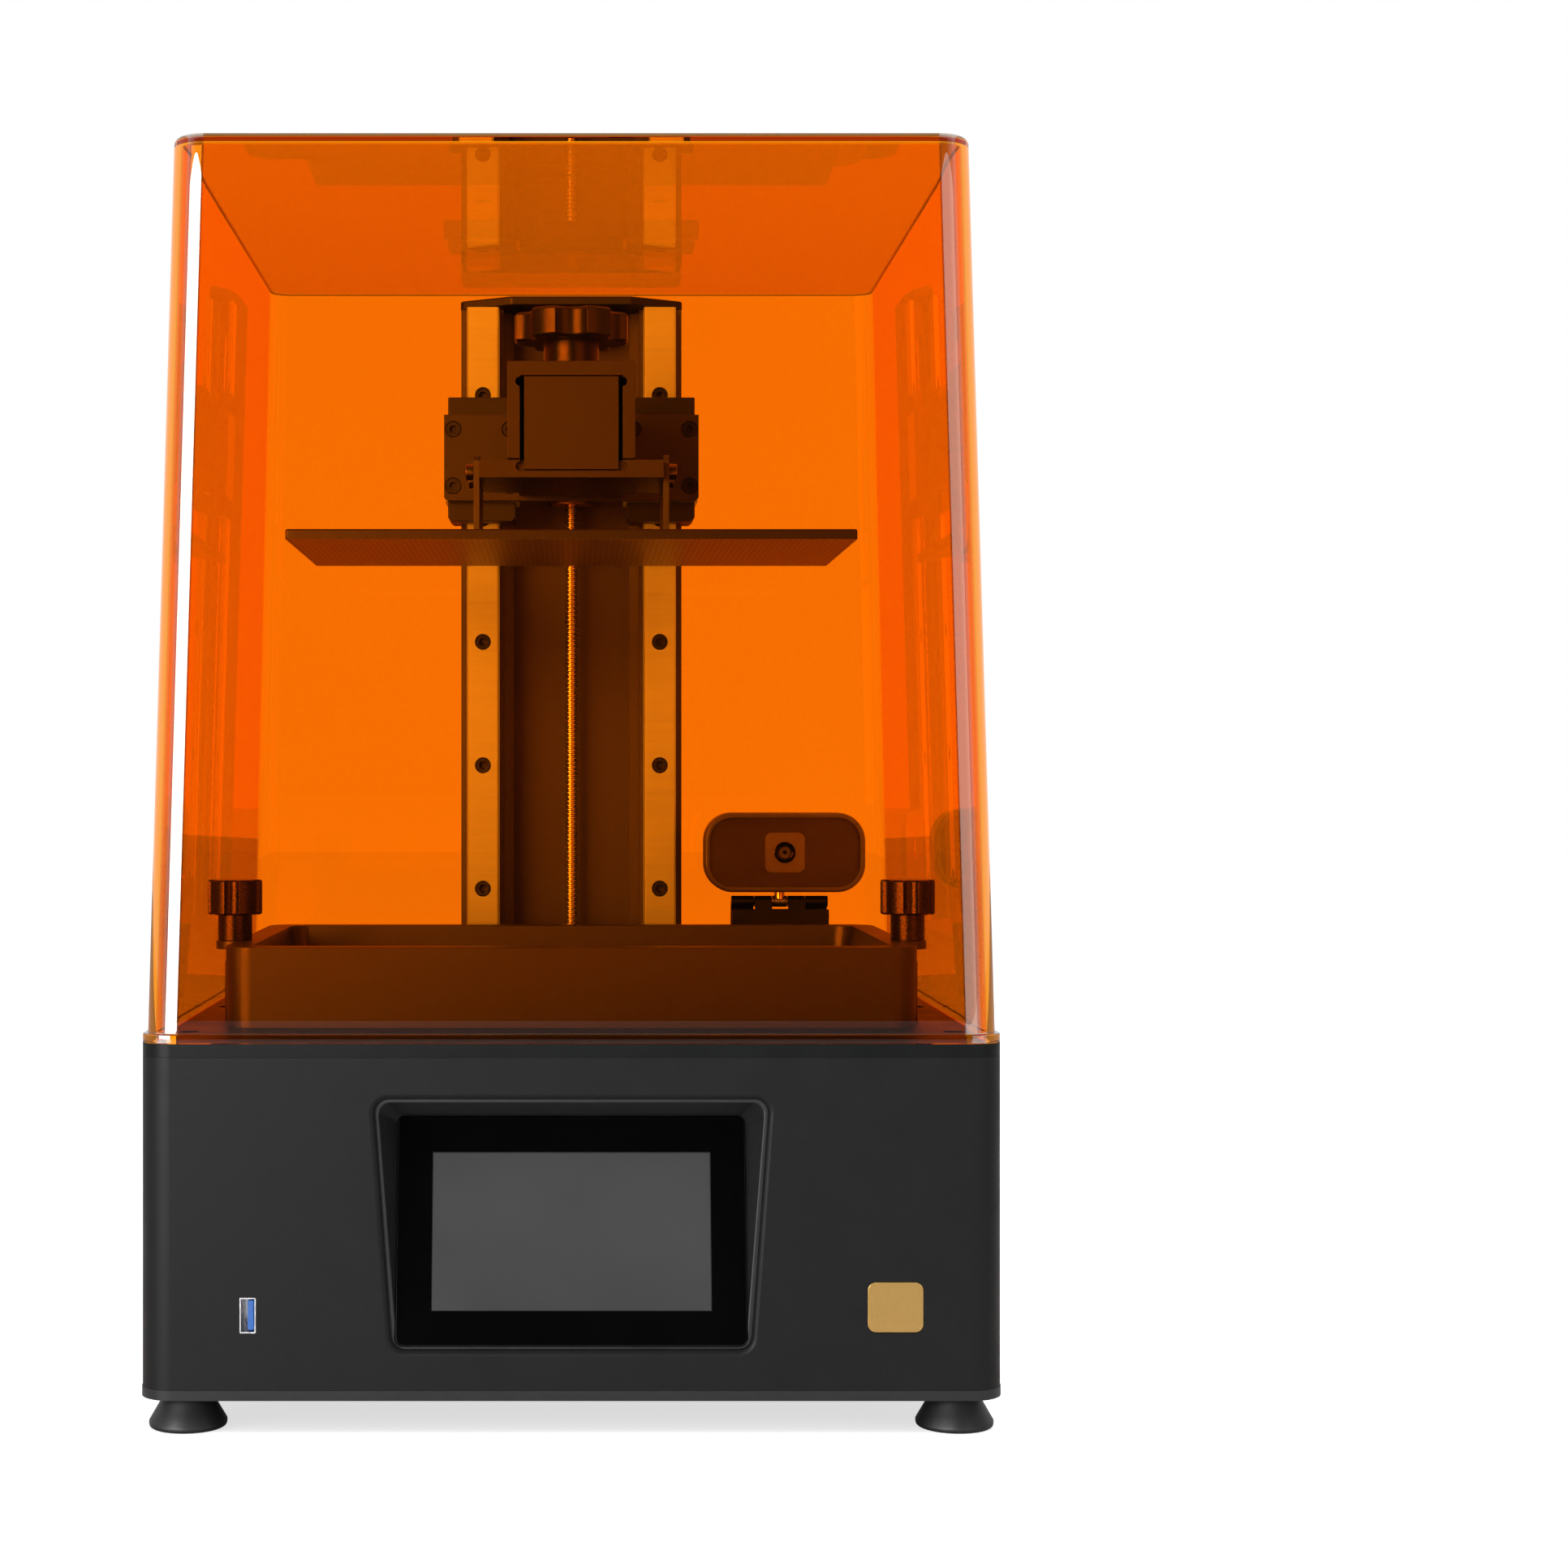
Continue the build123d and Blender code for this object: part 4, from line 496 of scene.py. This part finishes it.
def piece(name, mesh, node_names, slot=None, smooth=30.0, look=None):
    """Links a mesh as a piece that stands for CAD nodes and rides on their body."""
    obj = bpy.data.objects.new(name, mesh)
    scene.collection.objects.link(obj)
    first = node_names[0]
    slot = slot or slot_of[first]
    dress(obj, look or slot)
    mesh.shade_smooth()
    mesh.set_sharp_from_angle(angle=math.radians(smooth))
    flat = obj.modifiers.new("flat faces", "WEIGHTED_NORMAL")
    flat.weight, flat.keep_sharp = 100, True
    obj.data = applied(obj)
    obj.modifiers.clear()
    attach(obj, body_of[first])
    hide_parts(*node_names)


def softened(node_name, width, long_bevel=0.0):
    """The CAD piece with its edges broken, as deburred metal and moulded plastic have; widths in millimetres.

    A long bevel is cut first, along the sharp edges that are longer than LONG_EDGE.
    """
    mesh = nodes[node_name].data.copy()
    mesh.name = node_name + "_finished"
    bm = bmesh.new()
    bm.from_mesh(mesh)
    bmesh.ops.remove_doubles(bm, verts=bm.verts, dist=SAME_POINT)
    bmesh.ops.dissolve_limit(bm, angle_limit=math.radians(0.6), verts=bm.verts, edges=bm.edges)
    if long_bevel:
        long_edges = [e for e in bm.edges if e.calc_length() > LONG_EDGE and e.calc_face_angle(0) > 1.0]
        bmesh.ops.bevel(bm, geom=long_edges, offset=long_bevel * MM, segments=1, profile=0.5, affect="EDGES")
    bm.to_mesh(mesh)
    bm.free()
    obj = bpy.data.objects.new(node_name + "_finished", mesh)
    scene.collection.objects.link(obj)
    modifier = obj.modifiers.new("edge", "BEVEL")
    modifier.width, modifier.segments = width * MM, 2
    modifier.limit_method, modifier.angle_limit = "ANGLE", math.radians(BEVEL_ANGLE)
    modifier.harden_normals = False
    baked = applied(obj)
    bpy.data.objects.remove(obj)
    piece(node_name + "_finished", baked, [node_name], smooth=35, look=OWN_LOOKS.get(node_name))


def applied(obj):
    """The mesh that an object's modifiers make of it."""
    bpy.context.view_layer.update()
    return bpy.data.meshes.new_from_object(obj.evaluated_get(bpy.context.evaluated_depsgraph_get()))


def grid_mesh(name, rings):
    """A closed skin over rings of points that all have the same count, capped at the first and the last."""
    count = len(rings[0])
    verts = [p for ring in rings for p in ring]
    faces = []
    for i in range(len(rings) - 1):
        for j in range(count):
            k = (j + 1) % count
            faces.append((i * count + j, i * count + k, (i + 1) * count + k, (i + 1) * count + j))
    faces.append(tuple(reversed(range(count))))
    faces.append(tuple((len(rings) - 1) * count + j for j in range(count)))
    mesh = bpy.data.meshes.new(name)
    mesh.from_pydata([tuple(v) for v in verts], [], faces)
    bm = bmesh.new()
    bm.from_mesh(mesh)
    bmesh.ops.recalc_face_normals(bm, faces=bm.faces)
    bm.to_mesh(mesh)
    bm.free()
    return mesh


FLAT_LEAD = 1.0 * MM  # how far past each corner's arc a ring has a further point, which keeps flat sides flat
CORNER_STEPS = 14


def rounded_ring(width, depth, radius, z):
    """Points round a rounded rectangle about the origin, at one height."""
    points = []
    for qx, qy, start in ((1, 1, 0), (-1, 1, 90), (-1, -1, 180), (1, -1, 270)):
        ox, oy = qx * (width / 2 - radius), qy * (depth / 2 - radius)
        arc = []
        for i in range(CORNER_STEPS + 1):
            a = math.radians(start + 90 * i / CORNER_STEPS)
            arc.append(Vector((ox + radius * math.cos(a), oy + radius * math.sin(a), z)))
        before, after = (Vector((-math.sin(t), math.cos(t), 0)) * FLAT_LEAD for t in (a - math.pi / 2, a))
        points += [arc[0] - before] + arc + [arc[-1] + after]
    return points


# ---------------------------------------------------------------- cover
def make_cover():
    """The tapered shell with round corners and edges, drawn from under its roof down and up again outside."""
    low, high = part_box("cover")
    width, depth = (high.x - low.x), (high.y - low.y)
    deck, top = low.z, high.z
    flange, wall, inset = 3.4 * MM, 3.0 * MM, 1.5 * MM
    corner, flange_corner, least_corner = 12.5 * MM, 12 * MM, 0.4 * MM
    lean = math.tan(math.radians(1.46))
    edge, hollow = 2.8 * MM, 1.6 * MM  # radii of the roof's outer and inner edge
    rings = []

    def ring(z, drawn, radius):
        rings.append(rounded_ring(width - 2 * drawn, depth - 2 * drawn, radius, z))

    def outer(z, extra=0.0):
        ring(z, inset + (z - deck) * lean + extra, max(corner - extra, least_corner))

    def plate(z, extra):
        ring(z, extra, flange_corner - extra)

    def inner(z, extra=0.0):
        ring(z, inset + wall + (z - deck) * lean + extra, max(corner - wall - extra, least_corner))

    roof = top - wall
    inner(roof, hollow)
    for i in range(1, 6):
        a = math.radians(18 * i)
        inner(roof - hollow * (1 - math.cos(a)), hollow * (1 - math.sin(a)))
    for i in range(1, 8):
        inner(roof - hollow + (deck - roof + hollow) * i / 8)
    inner(deck)
    plate(deck, 0.3 * MM)
    plate(deck + 0.3 * MM, 0.0)
    plate(deck + flange - 0.5 * MM, 0.0)
    plate(deck + flange - 0.15 * MM, 0.15 * MM)
    plate(deck + flange, 0.5 * MM)
    outer(deck + flange, -0.3 * MM)
    outer(deck + flange + 0.3 * MM)
    for i in range(1, 8):
        outer(deck + flange + (top - edge - deck - flange) * i / 8)
    for i in range(9):
        a = math.radians(90 * i / 8)
        outer(top - edge + edge * math.sin(a), edge * (1 - math.cos(a)))
    piece("cover_shell", grid_mesh("cover_shell", rings), ["cover"], smooth=40)


make_cover()


# ---------------------------------------------------------------- CAD pieces with broken edges
for node_name, width in (
    ("base_shell", 0.5), ("bottom_plate", 0.5), ("top_plate", 0.6), ("feet", 0.5), ("screen_bezel", 0.6),
    ("front_badge", 0.3), ("usb_socket", 0.15), ("usb_tongue", 0.2), ("touch_glass", 0.3),
    ("tower_column", 0.5), ("tower_cap", 0.4), ("rail_screws", 0.3),
    ("guide_block_left", 0.5), ("guide_block_right", 0.5), ("block_caps", 0.5), ("carriage_plate", 0.5),
    ("carriage_bolts", 0.3), ("nut_block", 0.4), ("lift_arm", 0.6), ("plate_mount", 0.4),
    ("plate_leg_left", 0.3), ("plate_leg_right", 0.3), ("build_plate", 0.3), ("plate_screws", 0.3),
    ("vat_frame", 0.6), ("vat_posts", 0.3), ("thumb_screw_left", 0.25), ("thumb_screw_right", 0.25),
    ("clamp_knob", 0.35), ("rear_panel", 0.3), ("power_inlet", 0.4), ("switch_housing", 0.3),
    ("power_rocker", 0.4), ("stand_leaf_front", 0.5), ("stand_leaf_rear", 0.5), ("webcam_stem", 0.2),
    ("housing_screws", 0.3),
):
    softened(node_name, width)

for side in ("left", "right"):
    softened(f"rail_{side}", 0.15, long_bevel=1.1)


# ---------------------------------------------------------------- webcam
def loose_parts(node_name):
    """Each separate solid of a CAD piece as its own mesh, smallest first."""
    bm = bmesh.new()
    bm.from_mesh(nodes[node_name].data)
    bmesh.ops.remove_doubles(bm, verts=bm.verts, dist=SAME_POINT)
    unvisited, parts = set(bm.verts), []
    while unvisited:
        part, border = set(), {next(iter(unvisited))}
        while border:
            part |= border
            border = {e.other_vert(v) for v in border for e in v.link_edges} - part
        unvisited -= part
        index = {v: i for i, v in enumerate(sorted(part, key=lambda v: v.index))}
        faces = [[index[v] for v in f.verts] for f in bm.faces if f.verts[0] in part]
        mesh = bpy.data.meshes.new(f"{node_name}_part")
        mesh.from_pydata([tuple(v.co) for v in index], [], faces)
        parts.append((max(v.co.x for v in part) - min(v.co.x for v in part), mesh))
    bm.free()
    return [mesh for _, mesh in sorted(parts, key=lambda part: part[0])]


def make_webcam():
    """The webcam's face, and the paler square window in it, as two pieces."""
    window, face = loose_parts("webcam_face")
    piece("webcam_front", face, ["webcam_face"])
    piece("webcam_window", window, ["webcam_face"], slot="camera_plastic", look="camera_window")


make_webcam()
softened("webcam_case", 0.3)
softened("webcam_lens", 0.15)


# ---------------------------------------------------------------- lead screw
def make_lead_screw():
    """A plain shank below the deck and a rolled thread above it, whose ends run out in plain parts."""
    low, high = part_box("lead_screw")
    axis = (low + high) / 2
    crest, pitch, columns = (high.x - low.x) / 2, 2.0 * MM, 24
    root = crest - 0.75 * MM
    rows = ((0.0, crest), (0.26, crest), (0.5, root), (0.76, root))
    start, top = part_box("top_plate")[1].z + 1.2 * MM, high.z - 1.5 * MM
    turns = int((top - start) / pitch) - 1
    bm = bmesh.new()
    skin, step = [], len(rows)
    for k in range(turns * step + 1):
        share, radius = rows[k % step]
        ring = []
        for j in range(columns):
            turn = j / columns
            z = start + pitch * (k // step + share + turn)
            a = 2 * math.pi * turn
            ring.append(bm.verts.new((axis.x + radius * math.cos(a), axis.y + radius * math.sin(a), z)))
        skin.append(ring)
    for k in range(len(skin) - 1):
        for j in range(columns):
            if j < columns - 1:
                bm.faces.new((skin[k][j], skin[k][j + 1], skin[k + 1][j + 1], skin[k + 1][j]))
            elif k + 1 + step < len(skin):
                bm.faces.new((skin[k][j], skin[k + step][0], skin[k + 1 + step][0], skin[k + 1][j]))
    for end in (0, len(skin) - 1):
        edge = skin[end][:]
        if end == 0:
            edge += [skin[k][0] for k in range(step, 0, -1)]
        else:
            edge += [skin[k][columns - 1] for k in range(end - 1, end - step - 1, -1)]
        middle = sum((v.co for v in edge), Vector()) / len(edge)
        hub = bm.verts.new((axis.x, axis.y, middle.z))
        for a, b in zip(edge, edge[1:] + edge[:1]):
            bm.faces.new((hub, b, a) if end == 0 else (hub, a, b))
    bevel = 0.4 * MM
    angles = [2 * math.pi * j / columns for j in range(columns)]
    for z_low, z_high, radius in ((low.z, start + 2.2 * pitch, crest), (high.z - 3 * MM, high.z, root)):
        shank = [
            [bm.verts.new((axis.x + r * math.cos(a), axis.y + r * math.sin(a), z)) for a in angles]
            for r, z in (
                (radius - bevel, z_low), (radius, z_low + bevel),
                (radius, z_high - bevel), (radius - bevel, z_high),
            )
        ]
        for lower, upper in zip(shank, shank[1:]):
            for j in range(columns):
                k = (j + 1) % columns
                bm.faces.new((lower[j], lower[k], upper[k], upper[j]))
        bm.faces.new(list(reversed(shank[0])))
        bm.faces.new(shank[-1])
    bmesh.ops.recalc_face_normals(bm, faces=bm.faces)
    mesh = bpy.data.meshes.new("lead_screw_threaded")
    bm.to_mesh(mesh)
    bm.free()
    piece("lead_screw_threaded", mesh, ["lead_screw"], smooth=35)


make_lead_screw()


# ---------------------------------------------------------------- which pieces mirror which lamps
def split_lamps():
    """Lets amber and black glass mirror only the weak pair of far screens, and the rest only the strong pair.

    With the strong pair, a flat wall of the cover would turn blank white wherever it mirrors a screen.
    """
    for kind, state in (("strip", "EXCLUDE"), ("sheen", "INCLUDE")):
        group = bpy.data.collections.new(f"{kind}_receivers")
        for obj in scene.objects:
            names = [slot.material.name for slot in obj.material_slots if slot.material]
            if any(name.startswith(("amber_acrylic", "black_glass")) for name in names):
                group.objects.link(obj)
        for entry in group.collection_objects:
            entry.light_linking.link_state = state
        for side in ("left", "right"):
            scene.objects[f"{side}_{kind}"].light_linking.receiver_collection = group


split_lamps()
